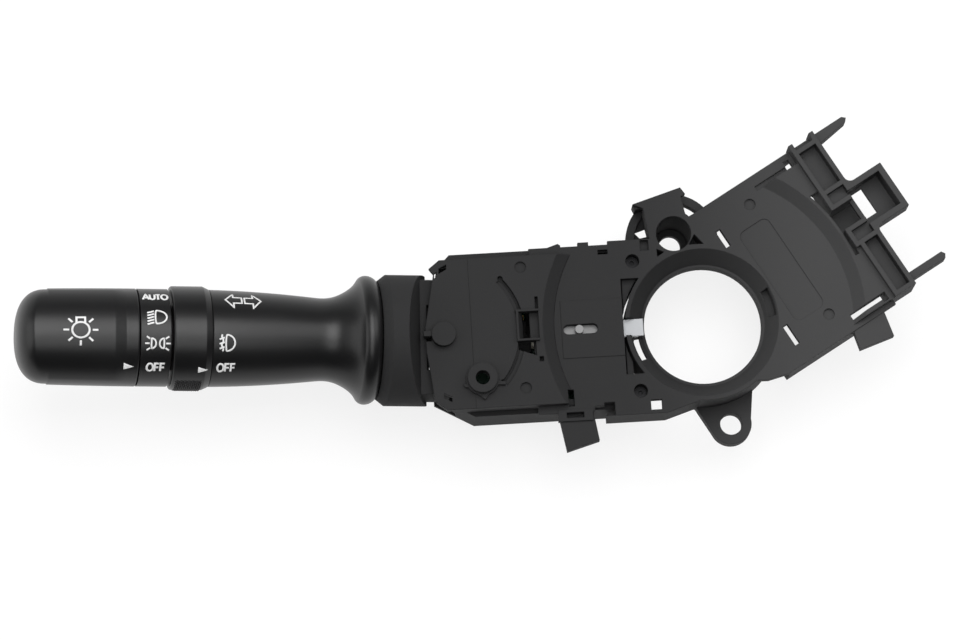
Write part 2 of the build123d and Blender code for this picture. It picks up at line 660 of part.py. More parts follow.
def box_pocket(body):
    """Cover with its raised box, whose left wall slopes inwards, and the slots above and below the box."""
    left, right, low, high = -52.8, -46.5, -3.1, 5.8
    top, floor = Z_COVER + BOX_RISE, Z_COVER_BACK
    body += block(left, right, low, high, Z_COVER_BACK, top)
    wall = BOX_WALL
    section = [(left + wall, top), (left + 3 * wall, floor), (right, floor), (right, top)]
    face = Plane.XZ * make_face(Polyline(*section, close=True))
    body -= Pos(0, high - wall, 0) * extrude(face, high - low - 2 * wall)
    body -= block(-47.3, -46.4, high + 0.2, 9.4, Z_PLATE, Z_COVER)
    body -= block(-46.9, -45.7, -9.0, -7.6, Z_PLATE, Z_COVER)
    below = [(-52.5, low), (-47.6, low), (-47.6, -7.3), (-50.7, -6.1), (-52.5, -5.2)]
    return body - prism(below, Z_PLATE, Z_COVER)


def cover_windows():
    """Clip windows at the cover's left corners."""
    upper = [(-73.6, 18.9), (-71.4, 20.0), (-71.5, 18.6), (-73.7, 17.4)]
    small = [(-74.9, 17.6), (-74.2, 18.0), (-74.3, 16.7), (-75.0, 16.2)]
    lower = [(-74.2, -16.5), (-71.9, -17.7), (-72.0, -19.1), (-74.3, -17.9)]
    z_low = Z_COVER - COVER_WINDOW_DROP
    return prism(upper, z_low, Z_COVER) + prism(small, z_low, Z_COVER) + prism(lower, z_low, Z_COVER)


def swing_groove():
    """Curved step about the turn pivot, with a deep slit along its outer edge above and inner edge below."""
    z_slit, z_step = Z_COVER_BACK + GROOVE_FLOOR, Z_COVER - GROOVE_SINK
    reach = 2 * GROOVE_OUT
    a = radians(GROOVE_HALF)
    groove = Part()
    for side, inner in ((-1, GROOVE_IN), (1, GROOVE_OUT - GROOVE_SLIT)):
        wedge = prism([(0, 0), (reach, 0), (reach * cos(a), side * reach * sin(a))], z_slit, Z_COVER)
        slit = rod(inner + GROOVE_SLIT, z_slit, Z_COVER) - rod(inner, z_slit, Z_COVER)
        step = rod(GROOVE_OUT, z_step, Z_COVER) - rod(GROOVE_IN, z_step, Z_COVER)
        middle = inner + GROOVE_SLIT / 2
        groove += (slit + step) & wedge
        groove += rod(GROOVE_SLIT, z_slit, Z_COVER, middle * cos(a), side * middle * sin(a))
    return Pos(PIVOT_X, 0, 0) * groove


def case_outline(low, high, corner, run, left, right):
    """Case outline between its lower and upper edges, with cut left corners, the lower one longer."""
    points = [(left, -low + corner), (left + run, -low), (right, -low), (right, high), (left + corner, high)]
    return points + [(left, high - corner)]


def make_switch_case():
    """Stepped tray under the cover and the middle plate, open towards the lever."""
    wall, left, right = CASE_WALL, CASE_LEFT + CASE_WALL, CASE_RIGHT - CASE_WALL
    outline = case_outline(CASE_LOW, CASE_TOP, CASE_CORNER, CASE_RUN, CASE_LEFT, CASE_RIGHT)
    body = prism(outline, Z_CASE_BACK, Z_SHOULDER)
    corner = CASE_CORNER - 1
    upper = case_outline(UPPER_HALF, UPPER_HALF, corner, corner, CASE_LEFT, CASE_RIGHT)
    body += prism(upper, Z_SHOULDER - CASE_LAP, Z_PLATE)
    corner = CASE_CORNER - wall
    cavity = case_outline(CASE_LOW - wall, CASE_TOP - wall, corner, CASE_RUN - wall, left, right)
    body -= prism(cavity, Z_CASE_FLOOR, Z_SHOULDER - wall)
    cavity = case_outline(UPPER_HALF - wall, UPPER_HALF - wall, corner, corner, left, right)
    body -= prism(cavity, Z_SHOULDER - wall - CASE_LAP, Z_PLATE)
    body += block(right, NOSE_X, NOSE_LOW, NOSE_HIGH, Z_CASE_BACK, Z_PLATE_BACK)
    body -= block(MID_LAP_X, CASE_RIGHT, -CASE_TOP, CASE_TOP, Z_PLATE_BACK, Z_PLATE)
    body -= top_window(Z_SHOULDER - wall, Z_PLATE)
    body -= block(CASE_LEFT, PIVOT_X + MOUTH_IN, -MOUTH_HALF, MOUTH_HALF, Z_CASE_FLOOR, Z_PLATE)
    for side in (-1, 1):
        y = side * SCREW_Y
        body += rod(LUG_R, Z_LUG - LUG_T, Z_LUG, SCREW_X, y)
        body += block(right - 1, SCREW_X, y - LUG_R / 2, y + LUG_R / 2, Z_LUG - LUG_T, Z_LUG)
        body -= rod(BOSS_R + SEAT_FIT, Z_LUG, Z_PLATE, SCREW_X, y) + screw(y)
    for x in slider_rails():
        body += block(x, x + RAIL_W, DRIVE_Y - SLIDER_L, DRIVE_Y + SLIDER_L, Z_CASE_FLOOR,
                      Z_SLIDER + SLIDER_T - 0.3)
    body -= rod(TRUNNION_LOW_R + FIT, Z_CASE_BACK, Z_CASE_FLOOR, PIVOT_X)
    body -= header_block()
    body -= rod(RING_R + COLUMN_CLEAR, Z_CASE_BACK, Z_PLATE)
    return body


def slider_rails():
    """Left faces of the two ribs that guide the turn slider."""
    half = SLIDER_W / 2 + SLIDE_GAP
    return DRIVE_X - half - RAIL_W, DRIVE_X + half


def screw(y):
    """Small pan screw whose head clamps the boss of the middle plate."""
    z_head = Z_LUG + LEDGE_T
    head = rod(SCREW_HEAD_R, z_head, z_head + SCREW_HEAD_T, SCREW_X, y)
    return head + rod(SCREW_R, z_head - SCREW_L, z_head, SCREW_X, y)


def make_case_screws():
    """Two screws that hold the frame to the case."""
    z_head = Z_LUG + LEDGE_T + SCREW_HEAD_T
    drive = rod(SCREW_R / 2, z_head - 1, z_head)
    screws = [screw(side * SCREW_Y) - Pos(SCREW_X, side * SCREW_Y, 0) * drive for side in (-1, 1)]
    return Compound(children=[solid for item in screws for solid in item.solids()])


def header_block():
    """Insulating block in the case floor that carries the connector pins."""
    length = PIN_COLUMNS * PIN_PITCH + 1
    width = PIN_ROWS * PIN_PITCH + 2
    return block(SOCKET_X - length / 2, SOCKET_X + length / 2, -width / 2, width / 2, Z_CASE_BACK,
                 Z_CASE_BACK + HEADER_T)


def pins():
    """Connector pins in rows, from the board to near the socket's mouth."""
    solids = []
    for i in range(PIN_COLUMNS):
        for j in range(PIN_ROWS):
            x = SOCKET_X + (i - (PIN_COLUMNS - 1) / 2) * PIN_PITCH
            y = (j - (PIN_ROWS - 1) / 2) * PIN_PITCH
            low = Z_CASE_BACK - SOCKET_DEPTH * 0.65
            solids.append(block(x - PIN_W / 2, x + PIN_W / 2, y - PIN_W / 2, y + PIN_W / 2, low, Z_BOARD + 1))
    return Compound(children=solids)


def make_pin_header():
    """Header block with a hole for each pin."""
    body = header_block()
    for pin in pins().solids():
        body -= pin
    return body


def make_connector_shroud():
    """Socket behind the case that guides and latches the wiring plug."""
    outer_l, outer_w = SOCKET_L + 2 * SOCKET_WALL, SOCKET_W + 2 * SOCKET_WALL
    z_low = Z_CASE_BACK - SOCKET_DEPTH
    x, hl, hw = SOCKET_X, SOCKET_L / 2, SOCKET_W / 2
    body = block(x - outer_l / 2, x + outer_l / 2, -outer_w / 2, outer_w / 2, z_low, Z_CASE_BACK)
    body -= block(x - hl, x + hl, -hw, hw, z_low, Z_CASE_BACK)
    body -= block(x - 2.5, x + 2.5, hw, outer_w / 2, z_low, z_low + 7)
    return body


def make_contact_board():
    """Circuit board on the case floor."""
    body = block(BOARD_LEFT, BOARD_RIGHT, -BOARD_HALF, BOARD_HALF, Z_CASE_FLOOR, Z_BOARD)
    for pin in pins().solids():
        body -= pin
    for x in slider_rails():
        body -= block(x - SLIDE_GAP, x + RAIL_W + SLIDE_GAP, DRIVE_Y - SLIDER_L - SLIDE_GAP,
                      DRIVE_Y + SLIDER_L + SLIDE_GAP, Z_CASE_FLOOR, Z_BOARD)
    return body


def make_contact_pads():
    """Fixed brass pads on the board under the slider."""
    pads = []
    for x in (DRIVE_X - 2.8, DRIVE_X + 2.8):
        for y in (DRIVE_Y - 7, DRIVE_Y, DRIVE_Y + 7):
            pads.append(block(x - 0.8, x + 0.8, y - 2, y + 2, Z_BOARD, Z_BOARD + PAD_T))
    return Compound(children=pads)


def make_turn_slider():
    """Contact carriage moved sideways by the carrier's drive pin."""
    body = block(DRIVE_X - SLIDER_W / 2, DRIVE_X + SLIDER_W / 2, DRIVE_Y - SLIDER_L / 2,
                 DRIVE_Y + SLIDER_L / 2, Z_SLIDER, Z_SLIDER + SLIDER_T)
    reach = DRIVE_R + 0.8
    half = DRIVE_R + 0.15
    return body - block(DRIVE_X - reach, DRIVE_X + reach, DRIVE_Y - half, DRIVE_Y + half, Z_SLIDER,
                        Z_SLIDER + SLIDER_T)


def make_bridge_contact():
    """Brass leaf under the slider that bridges the pads."""
    leaves = [block(x - 0.6, x + 0.6, DRIVE_Y - 5, DRIVE_Y + 5, Z_SLIDER - LEAF_T, Z_SLIDER)
              for x in (DRIVE_X - 2.8, DRIVE_X + 2.8)]
    return Compound(children=leaves)


def make_detent_block():
    """Fixed detent with three grooves on an arc about the pivot."""
    arc_r = TAIL_L + DETENT_OUT + DETENT_GAP
    z0, z1 = Z_BOARD - Z_LEVER, Z_BOARD - Z_LEVER + 6.0
    body = block(arc_r - 1.5, arc_r + 3, -7, 7, z0, z1) - rod(arc_r, z0, z1)
    for k in (-1, 0, 1):
        a = radians(k * TURN_RANGE)
        body -= rod(1.4, z0, z1, arc_r * cos(a), arc_r * sin(a))
    return REST * body


# Turn carrier and its small parts, in the lever's own frame
def make_turn_carrier():
    """Swinging frame with trunnions above and below, a tail and the drive pin."""
    body = block(-CARRIER_FRONT, CARRIER_BACK, -CARRIER_HALF, CARRIER_HALF, CARRIER_LOW, CARRIER_TOP)
    window = CARRIER_HALF - CARRIER_ARM
    body -= block(-CARRIER_FRONT, CARRIER_BACK, -window, window, CARRIER_LOW + BRIDGE_LOW_T,
                  CARRIER_TOP - BRIDGE_TOP_T)
    body += rod(TRUNNION_TOP_R, CARRIER_TOP, Z_COVER + DISC_H - 1.4 - Z_LEVER)
    body += rod(TRUNNION_LOW_R, Z_CASE_BACK + 0.2 - Z_LEVER, CARRIER_LOW)
    seat = DIMMER_S + DIMMER_R + 1
    body += block(CARRIER_BACK - 1, seat, -4, 4, CARRIER_LOW, CARRIER_LOW + BRIDGE_LOW_T)
    body += block(CARRIER_BACK - 1, TAIL_L, -TAIL_HALF, TAIL_HALF, CARRIER_LOW, CARRIER_LOW + TAIL_T)
    body += rod(DRIVE_R, CARRIER_LOW - DRIVE_L, CARRIER_LOW + 0.5, DRIVE_S)
    body -= rod(DIMMER_R + FIT, CARRIER_LOW, CARRIER_LOW + BRIDGE_LOW_T, DIMMER_S)
    body -= detent_axis() * Pos(0, 0, -DETENT_BORE) * Cylinder(
        DETENT_R + FIT, DETENT_BORE, align=(Align.CENTER, Align.CENTER, Align.MIN))
    body -= tilt_pin(PIN_R + PRESS_FIT)
    return REST * body


def detent_axis():
    """Place at the tail's end, with Z pointing out of the detent bore."""
    return Pos(TAIL_L, 0, CARRIER_LOW + TAIL_T / 2) * Rot(0, 90, 0)


def tilt_pin(radius):
    """Cross pin through the carrier's arms."""
    return Rot(90, 0, 0) * Cylinder(radius, 2 * CARRIER_HALF)


def make_detent_plunger():
    """Sprung plunger with a round nose."""
    straight = DETENT_IN + DETENT_OUT - DETENT_R
    body = Cylinder(DETENT_R, straight, align=(Align.CENTER, Align.CENTER, Align.MIN))
    nose = Pos(0, 0, straight) * Sphere(DETENT_R)
    return REST * detent_axis() * Pos(0, 0, -DETENT_IN) * (body + nose)


def make_detent_spring():
    """Coil spring behind the plunger, drawn as its outer sleeve."""
    length = DETENT_BORE - DETENT_IN
    tube = Cylinder(DETENT_R - 0.1, length, align=(Align.CENTER, Align.CENTER, Align.MIN))
    tube -= Cylinder(DETENT_R - 0.1 - SPRING_WIRE, length, align=(Align.CENTER, Align.CENTER, Align.MIN))
    return REST * detent_axis() * Pos(0, 0, -DETENT_BORE) * tube


def make_dimmer_plunger():
    """Upright plunger that the lever's tail presses for the high beam and the flash."""
    top = -TONGUE_HALF_H - 0.4
    return REST * rod(DIMMER_R, top - DIMMER_L, top, DIMMER_S)


# Lever, in its own frame
def make_lever_root():
    """Barrel beside the case, with slanted back faces, a tongue for the tilt pin and a core socket."""
    points = profile([(0, 0), (BARREL_END, 0), (BARREL_END, BARREL_RIM_R),
                      (BARREL_END - BARREL_CHAMFER, BARREL_R), (0, BARREL_R)])
    body = RAKE * turned(Polyline(*points, close=True))
    high = 2 * BARREL_R
    middle = BARREL_TOP - BARREL_SLOPE * BARREL_R
    shift = BARREL_SLOPE * high
    for side in (-1, 1):
        wedge = [(-middle, 0), (-middle - shift, side * high), (high, side * high), (high, 0)]
        face = Plane.XZ * make_face(Polyline(*wedge, close=True))
        body -= extrude(face, high, both=True)
    body += block(-middle - 2, TONGUE_BACK, -TONGUE_HALF, TONGUE_HALF, -TONGUE_HALF_H, TONGUE_HALF_H)
    lobes = RAKE * axle(LOBE_R, -2 * LOBE_OUT, 2 * LOBE_OUT)
    lobes &= block(-LOBE_OUT, LOBE_IN, -LOBE_R, LOBE_R, LOBE_LOW, LOBE_TOP)
    window = CARRIER_HALF + LOBE_GAP
    body += lobes - block(-CARRIER_FRONT - LOBE_GAP, LOBE_IN, -window, window, LOBE_LOW, LOBE_TOP)
    body += block(-CARRIER_FRONT - LOBE_GAP, -CARRIER_FRONT - RIB_GAP, -window, window, -RIB_HALF, RIB_HALF)
    body -= tilt_pin(PIN_R + FIT)
    body -= RAKE * axle(CORE_R + SEAT_FIT, CORE_IN, BARREL_END)
    return REST * body


def make_stalk_core():
    """Tube through the whole lever, with a shaft land at each end."""
    body = axle(CORE_R, CORE_IN, CORE_END)
    body -= axle(CORE_BORE_R, CORE_IN, CORE_END - LAND_L)
    body -= axle(SHAFT_R + FIT, CORE_IN, CORE_END)
    start = ROTOR_AT + ROTOR_T + 1
    land = axle(CORE_BORE_R + 0.5, start, start + LAND_L) - axle(SHAFT_R + FIT, 0, CORE_END)
    body += land
    groove = axle(CORE_R, FOG_START + 3, FOG_END - 3) - axle(CORE_R - 0.9, FOG_START + 3, FOG_END - 3)
    body -= groove & block(-FOG_END, 0, -2 * CORE_R, 0, -CORE_R / 2, CORE_R / 2)
    return LEVER * body


def make_fog_click_spring():
    """Curved leaf in the core's groove that clicks inside the fog ring."""
    leaf = axle(CORE_R - 0.1, FOG_START + 3.2, FOG_END - 3.2)
    leaf -= axle(CORE_R - 0.85, FOG_START + 3.2, FOG_END - 3.2)
    half = CORE_R / 2 - 0.3
    return LEVER * (leaf & block(-FOG_END, 0, -2 * CORE_R, 0, -half, half))


def make_lever_stalk():
    """Tapered outer tube with a bell at the case end."""
    waist_at = STALK_END - 0.34 * STALK_L
    waist_r = STALK_NECK_R + 0.69 * (STALK_END_R - STALK_NECK_R)
    waist = Spline(*profile([(STALK_END, STALK_END_R), (waist_at, waist_r), (STALK_NECK, STALK_NECK_R)]))
    flare = STALK_BELL_R - STALK_NECK_R
    lip = STALK_START + 0.32 * STALK_BELL_L
    lip_r = STALK_NECK_R + 0.88 * flare
    bell_points = [(STALK_NECK, STALK_NECK_R),
                   (STALK_START + 0.66 * STALK_BELL_L, STALK_NECK_R + 0.18 * flare),
                   (STALK_START + 0.47 * STALK_BELL_L, STALK_NECK_R + 0.46 * flare), (lip, lip_r)]
    bell = Spline(*profile(bell_points), tangents=[(1, -0.02), (0.55, 1)])
    rim_r = STALK_BELL_R - BELL_ROUND
    top = profile([(lip, lip_r), (STALK_START + 0.24 * STALK_BELL_L, STALK_BELL_R),
                   (STALK_START + 0.13 * STALK_BELL_L, STALK_BELL_R), (STALK_START, rim_r)])
    rest = profile([(STALK_START, rim_r), (STALK_START, CORE_R + SEAT_FIT), (STALK_END, CORE_R + SEAT_FIT),
                    (STALK_END, STALK_END_R)])
    edges = waist.edges() + bell.edges() + Spline(*top).edges() + Polyline(*rest).edges()
    body = turned(edges)
    return LEVER * body


def make_fog_ring():
    """Ring that turns for the fog lamps, with a ribbed thumb pad."""
    points = profile([(FOG_START, CORE_R + FIT), (FOG_START, FOG_R - 1.0), (FOG_START + 3.6, FOG_R),
                      (FOG_END - 0.7, FOG_R), (FOG_END, FOG_R - 0.6), (FOG_END, CORE_R + FIT)])
    body = turned(Polyline(*points, close=True))
    return LEVER * body


def make_index_ring():
    """Fixed ring between the knob and the fog ring that carries the light symbols."""
    body = axle(INDEX_R, INDEX_START, INDEX_END)
    body -= axle(CORE_R + SEAT_FIT, INDEX_START, CORE_END + SEAT_FIT)
    return LEVER * (body - axle(CORE_R - 1, INDEX_START, INDEX_END))


def make_light_knob():
    """Hollow end knob with a hub on the shaft."""
    shoulder = KNOB_END - KNOB_NOSE_L
    middle = (KNOB_START + shoulder) / 2
    side = profile([(KNOB_START, KNOB_R), (middle, KNOB_R - 0.15), (shoulder, KNOB_NOSE_R)])
    nose = profile([(shoulder, KNOB_NOSE_R), (KNOB_END - 0.38 * KNOB_NOSE_L, 0.87 * KNOB_NOSE_R),
                    (KNOB_END - 0.09 * KNOB_NOSE_L, 0.57 * KNOB_NOSE_R), (KNOB_END, 0)])
    start = profile([(KNOB_START, 0), (KNOB_START, KNOB_R)])
    outer = Spline(*side).edges() + Spline(*nose).edges()
    outer += Polyline(profile([(KNOB_END, 0)])[0], start[0], start[1]).edges()
    body = turned(outer)
    wall = KNOB_WALL
    inner = KNOB_END - 1.5 * wall
    hollow = profile([(KNOB_START, 0), (KNOB_START, KNOB_R - wall), (shoulder - wall, KNOB_NOSE_R - wall),
                      (inner, 0.4 * KNOB_NOSE_R), (inner, 0)])
    body -= turned(Polyline(*hollow, close=True))
    body += axle(KNOB_HUB_R, KNOB_START + 2, inner + wall / 2)
    body -= axle(SHAFT_R + PRESS_FIT, KNOB_START, KNOB_END - SHAFT_COVER)
    return LEVER * body


def make_knob_shaft():
    """Steel shaft from the knob to the contact rotor."""
    return LEVER * axle(SHAFT_R, ROTOR_AT + 1, KNOB_END - SHAFT_COVER - 0.2)


def make_light_rotor():
    """Contact rotor on the inner end of the shaft."""
    disc = axle(ROTOR_R, ROTOR_AT, ROTOR_AT + ROTOR_T)
    return LEVER * (disc - axle(SHAFT_R + PRESS_FIT, ROTOR_AT + 1, CORE_END))


def make_light_contacts():
    """Fixed contact plate opposite the rotor."""
    end = ROTOR_AT - 0.4
    return LEVER * axle(CORE_BORE_R - SEAT_FIT, end - CONTACT_PLATE_T, end)


# Cancel plunger
def make_cancel_plunger():
    """White plunger that the steering shaft's cam pushes back, with its sight pin in the slot."""
    top = Z_PLATE_BACK - SLIDE_GAP
    body = block(PLUNGER_BACK, PLUNGER_TIP, -PLUNGER_HALF, PLUNGER_HALF, top - PLUNGER_T, top)
    return body + rod(PLUNGER_PIN_R, top - 1, Z_PLATE + PAD_H - 0.2, PLUNGER_PIN_X)


def make_cancel_spring():
    """Return spring between the stop and the plunger, drawn as its outer sleeve."""
    length = PLUNGER_BACK - MID_LAP_X - GUIDE_T
    tube = Cylinder(SPRING_R, length, align=(Align.CENTER, Align.CENTER, Align.MIN))
    tube -= Cylinder(SPRING_R - SPRING_WIRE, length, align=(Align.CENTER, Align.CENTER, Align.MIN))
    z = Z_PLATE_BACK - SLIDE_GAP - PLUNGER_T / 2
    return Pos(MID_LAP_X + GUIDE_T, 0, z) * Rot(0, 90, 0) * tube


PARTS = {
    "column_frame": make_column_frame,
    "switch_cover": make_switch_cover,
    "switch_case": make_switch_case,
    "case_screws": make_case_screws,
    "contact_board": make_contact_board,
    "contact_pads": make_contact_pads,
    "pin_header": make_pin_header,
    "terminal_pins": pins,
    "connector_shroud": make_connector_shroud,
    "detent_block": make_detent_block,
    "turn_slider": make_turn_slider,
    "bridge_contact": make_bridge_contact,
    "turn_carrier": make_turn_carrier,
    "tilt_pin": lambda: REST * tilt_pin(PIN_R),
    "detent_plunger": make_detent_plunger,
    "detent_spring": make_detent_spring,
    "dimmer_plunger": make_dimmer_plunger,
    "lever_root": make_lever_root,
    "stalk_core": make_stalk_core,
    "fog_click_spring": make_fog_click_spring,
    "lever_stalk": make_lever_stalk,
    "fog_ring": make_fog_ring,
    "index_ring": make_index_ring,
    "light_knob": make_light_knob,
    "knob_shaft": make_knob_shaft,
    "light_rotor": make_light_rotor,
    "light_contacts": make_light_contacts,
    "cancel_plunger": make_cancel_plunger,
    "cancel_spring": make_cancel_spring,
}

os.makedirs("parts", exist_ok=True)
for name, make in PARTS.items():
    export_step(make(), f"parts/{name}.step")
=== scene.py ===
"""Looks of a combination stalk switch: moulded black plastics, printed lever symbols and a studio stage."""
import json
import math

import bpy
import numpy as np
from bpy.props import FloatProperty, FloatVectorProperty, PointerProperty
from mathutils import Matrix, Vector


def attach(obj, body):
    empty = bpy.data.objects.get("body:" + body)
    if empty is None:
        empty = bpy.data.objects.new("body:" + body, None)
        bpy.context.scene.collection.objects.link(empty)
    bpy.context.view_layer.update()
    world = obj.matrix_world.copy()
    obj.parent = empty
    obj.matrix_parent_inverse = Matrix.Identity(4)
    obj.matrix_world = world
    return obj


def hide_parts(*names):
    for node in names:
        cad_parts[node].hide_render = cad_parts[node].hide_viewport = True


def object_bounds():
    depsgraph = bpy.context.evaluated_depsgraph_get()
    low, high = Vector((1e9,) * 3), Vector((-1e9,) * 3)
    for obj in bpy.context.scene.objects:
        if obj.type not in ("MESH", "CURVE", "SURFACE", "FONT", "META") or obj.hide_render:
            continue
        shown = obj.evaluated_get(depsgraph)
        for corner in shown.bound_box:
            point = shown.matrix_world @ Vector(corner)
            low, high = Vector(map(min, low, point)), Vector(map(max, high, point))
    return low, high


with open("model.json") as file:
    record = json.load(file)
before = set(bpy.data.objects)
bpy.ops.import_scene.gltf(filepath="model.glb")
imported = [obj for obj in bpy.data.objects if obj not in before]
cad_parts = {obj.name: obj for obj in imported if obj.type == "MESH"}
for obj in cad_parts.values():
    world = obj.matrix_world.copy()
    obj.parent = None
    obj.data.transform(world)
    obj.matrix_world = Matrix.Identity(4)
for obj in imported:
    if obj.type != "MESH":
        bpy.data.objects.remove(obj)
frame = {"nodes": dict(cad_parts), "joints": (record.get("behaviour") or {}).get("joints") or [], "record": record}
CAD_BOX = [list(corner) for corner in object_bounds()]

bl_info = {
    "name": "Stalk switch looks",
    "version": (1, 0, 0),
    "blender": (4, 5, 0),
    "location": "View3D > Sidebar > Stalk switch",
    "description": "Dresses a steering column stalk switch with its plastics, grips and printed symbols",
    "category": "Object",
}

MM = 0.001
FULL_TURN = 2.0 * math.pi
IMAGE_WIDTH = 960.0
SENSOR_WIDTH = 36.0
FAR_CLIP = 20.0

# Lever frame, from the light knob's joint: out along the lever, towards the driver, and up
KNOB_JOINT = next(joint for joint in frame["joints"] if joint["name"] == "light_turn")
PIVOT = np.array(KNOB_JOINT["pos_m"])
OUT = np.array(KNOB_JOINT["axis"]) / np.linalg.norm(KNOB_JOINT["axis"])
FRONT = np.array([0.0, 0.0, 1.0]) - OUT[2] * OUT
FRONT /= np.linalg.norm(FRONT)
UP = np.cross(OUT, FRONT)


def along_lever(node):
    """Distance from the pivot and radius about the lever's axis of every vertex of a CAD node."""
    mesh = frame["nodes"][node].data
    flat = np.empty(len(mesh.vertices) * 3)
    mesh.vertices.foreach_get("co", flat)
    offset = flat.reshape(-1, 3) - PIVOT
    distance = offset @ OUT
    radius = np.linalg.norm(offset - distance[:, None] * OUT, axis=1)
    return distance, radius


def outer_profile(node):
    """Outline of a turned CAD node: its distances in order, each with the largest radius found there."""
    distance, radius = along_lever(node)
    steps, where = np.unique(np.round(distance, 5), return_inverse=True)
    largest = np.zeros(len(steps))
    np.maximum.at(largest, where, radius)
    return steps, largest


def lever_span(node):
    """Nearest and furthest distance of a CAD node along the lever, and its smallest and largest radius."""
    distance, radius = along_lever(node)
    return [float(value) for value in (distance.min(), distance.max(), radius.min(), radius.max())]


KNOB_START, KNOB_END, _, KNOB_RADIUS = lever_span("light_knob")
FOG_START, FOG_END, FOG_BORE, FOG_RADIUS = lever_span("fog_ring")
STALK_START, STALK_END, STALK_BORE, _ = lever_span("lever_stalk")
STALK_OUTLINE = outer_profile("lever_stalk")
INDEX_RADIUS = lever_span("index_ring")[-1]


class StalkSizes(bpy.types.PropertyGroup):
    """Sizes of the dressed pieces."""
    facet_depth: FloatProperty(name="Facet depth", description="How far a facet's middle lies below the round",
                               default=1.15 * MM, unit="LENGTH")
    facet_lean: FloatProperty(name="Facet lean", description="How far a facet's axis lies behind the lever's",
                              default=2.04 * MM, unit="LENGTH")
    facet_ramp: FloatProperty(name="Facet ramp", description="Length over which a facet sinks in",
                              default=3.2 * MM, unit="LENGTH")
    facet_turn: FloatProperty(name="Facet turn", description="Where the front facet's middle lies",
                              default=math.radians(-3.0), subtype="ANGLE")
    knob_dome: FloatProperty(name="Knob dome", description="Length of the rounded end",
                             default=9.0 * MM, unit="LENGTH")
    knob_taper: FloatProperty(name="Knob taper", description="Radius lost from the seam to the dome",
                              default=0.5 * MM, unit="LENGTH")
    knob_collar: FloatProperty(name="Knob collar", description="Round stretch beside the seam",
                               default=3.7 * MM, unit="LENGTH")
    edge_round: FloatProperty(name="Edge round", description="Rounding of the rings' edges",
                              default=0.35 * MM, unit="LENGTH")
    bell_length: FloatProperty(name="Bell", description="Stretch of the bell that keeps its tight curves",
                               default=5.0 * MM, unit="LENGTH")
    stalk_flow: FloatProperty(name="Stalk flow", description="Reach over which the outline is averaged",
                              default=2.2 * MM, unit="LENGTH")
    fog_ramp: FloatProperty(name="Fog ring ramp", description="Length of its cone on the case side",
                            default=1.7 * MM, unit="LENGTH")
    fog_drop: FloatProperty(name="Fog ring drop", description="How far that cone falls",
                            default=0.8 * MM, unit="LENGTH")
    pad_turn: FloatProperty(name="Thumb pad", description="Where the fog ring's grip lies",
                            default=math.radians(-90.0), subtype="ANGLE")
    pad_half: FloatProperty(name="Thumb pad half", description="Half of the grip's sweep",
                            default=math.radians(27.0), subtype="ANGLE")
    knurl_depth: FloatProperty(name="Knurl depth", description="Height of the thumb grip's points",
                               default=0.3 * MM, unit="LENGTH")
    knurl_pitch: FloatProperty(name="Knurl pitch", description="Spacing of the thumb grip's points",
                               default=1.1 * MM, unit="LENGTH")
    ink_proud: FloatProperty(name="Ink height", description="How far print stands off the plastic",
                             default=0.04 * MM, unit="LENGTH")
    ink_line: FloatProperty(name="Ink line", description="Width of the symbols' lines",
                            default=0.46 * MM, unit="LENGTH")
    ink_bold: FloatProperty(name="Bold line", description="Width of the bulb's and the letters' lines",
                            default=0.58 * MM, unit="LENGTH")


class StalkColours(bpy.types.PropertyGroup):
    """Colours of the finishes."""
    frame_black: FloatVectorProperty(name="Frame plastic", description="Moulded frame, cover and case",
                                     default=(0.020, 0.020, 0.0205), subtype="COLOR", size=3)
    # Painted light: the arm end of the frame is painted paler than the rest, standing in for the stronger light
    # that falls on it
    arm_painted_light: FloatVectorProperty(name="Arm plastic", description="Paler end of the frame, painted light",
                                   default=(0.044, 0.044, 0.0445), subtype="COLOR", size=3)
    lever_black: FloatVectorProperty(name="Lever plastic", description="Satin lever pieces",
                                     default=(0.006, 0.006, 0.0063), subtype="COLOR", size=3)
    ink: FloatVectorProperty(name="Ink", description="Printed symbols",
                             default=(0.66, 0.66, 0.66), subtype="COLOR", size=3)
    acetal: FloatVectorProperty(name="Acetal", description="White cancel plunger",
                                default=(0.31, 0.32, 0.335), subtype="COLOR", size=3)
    # Painted shade: the back of the plunger is painted dark grey, standing in for the shade in its deep guide slot
    painted_shade_acetal: FloatVectorProperty(name="Acetal, painted shade", description="Back of the plunger, in its guide",
                                 default=(0.13, 0.13, 0.132), subtype="COLOR", size=3)
    filled: FloatVectorProperty(name="Filled nylon", description="Glass filled turn slider and stalk core",
                                default=(0.02, 0.02, 0.02), subtype="COLOR", size=3)
    nylon: FloatVectorProperty(name="Nylon", description="Natural inner pieces",
                               default=(0.62, 0.60, 0.52), subtype="COLOR", size=3)
    steel: FloatVectorProperty(name="Steel", description="Plated pins and springs",
                               default=(0.55, 0.55, 0.56), subtype="COLOR", size=3)
    # Painted shade: the case screws are painted nearly black, standing in for the shade in their deep holes
    screw: FloatVectorProperty(name="Screw", description="Case screws, painted dark as shade",
                               default=(0.02, 0.02, 0.021), subtype="COLOR", size=3)
    brass: FloatVectorProperty(name="Brass", description="Contacts and terminals",
                               default=(0.72, 0.52, 0.22), subtype="COLOR", size=3)
    board: FloatVectorProperty(name="Board", description="Circuit board",
                               default=(0.012, 0.06, 0.032), subtype="COLOR", size=3)


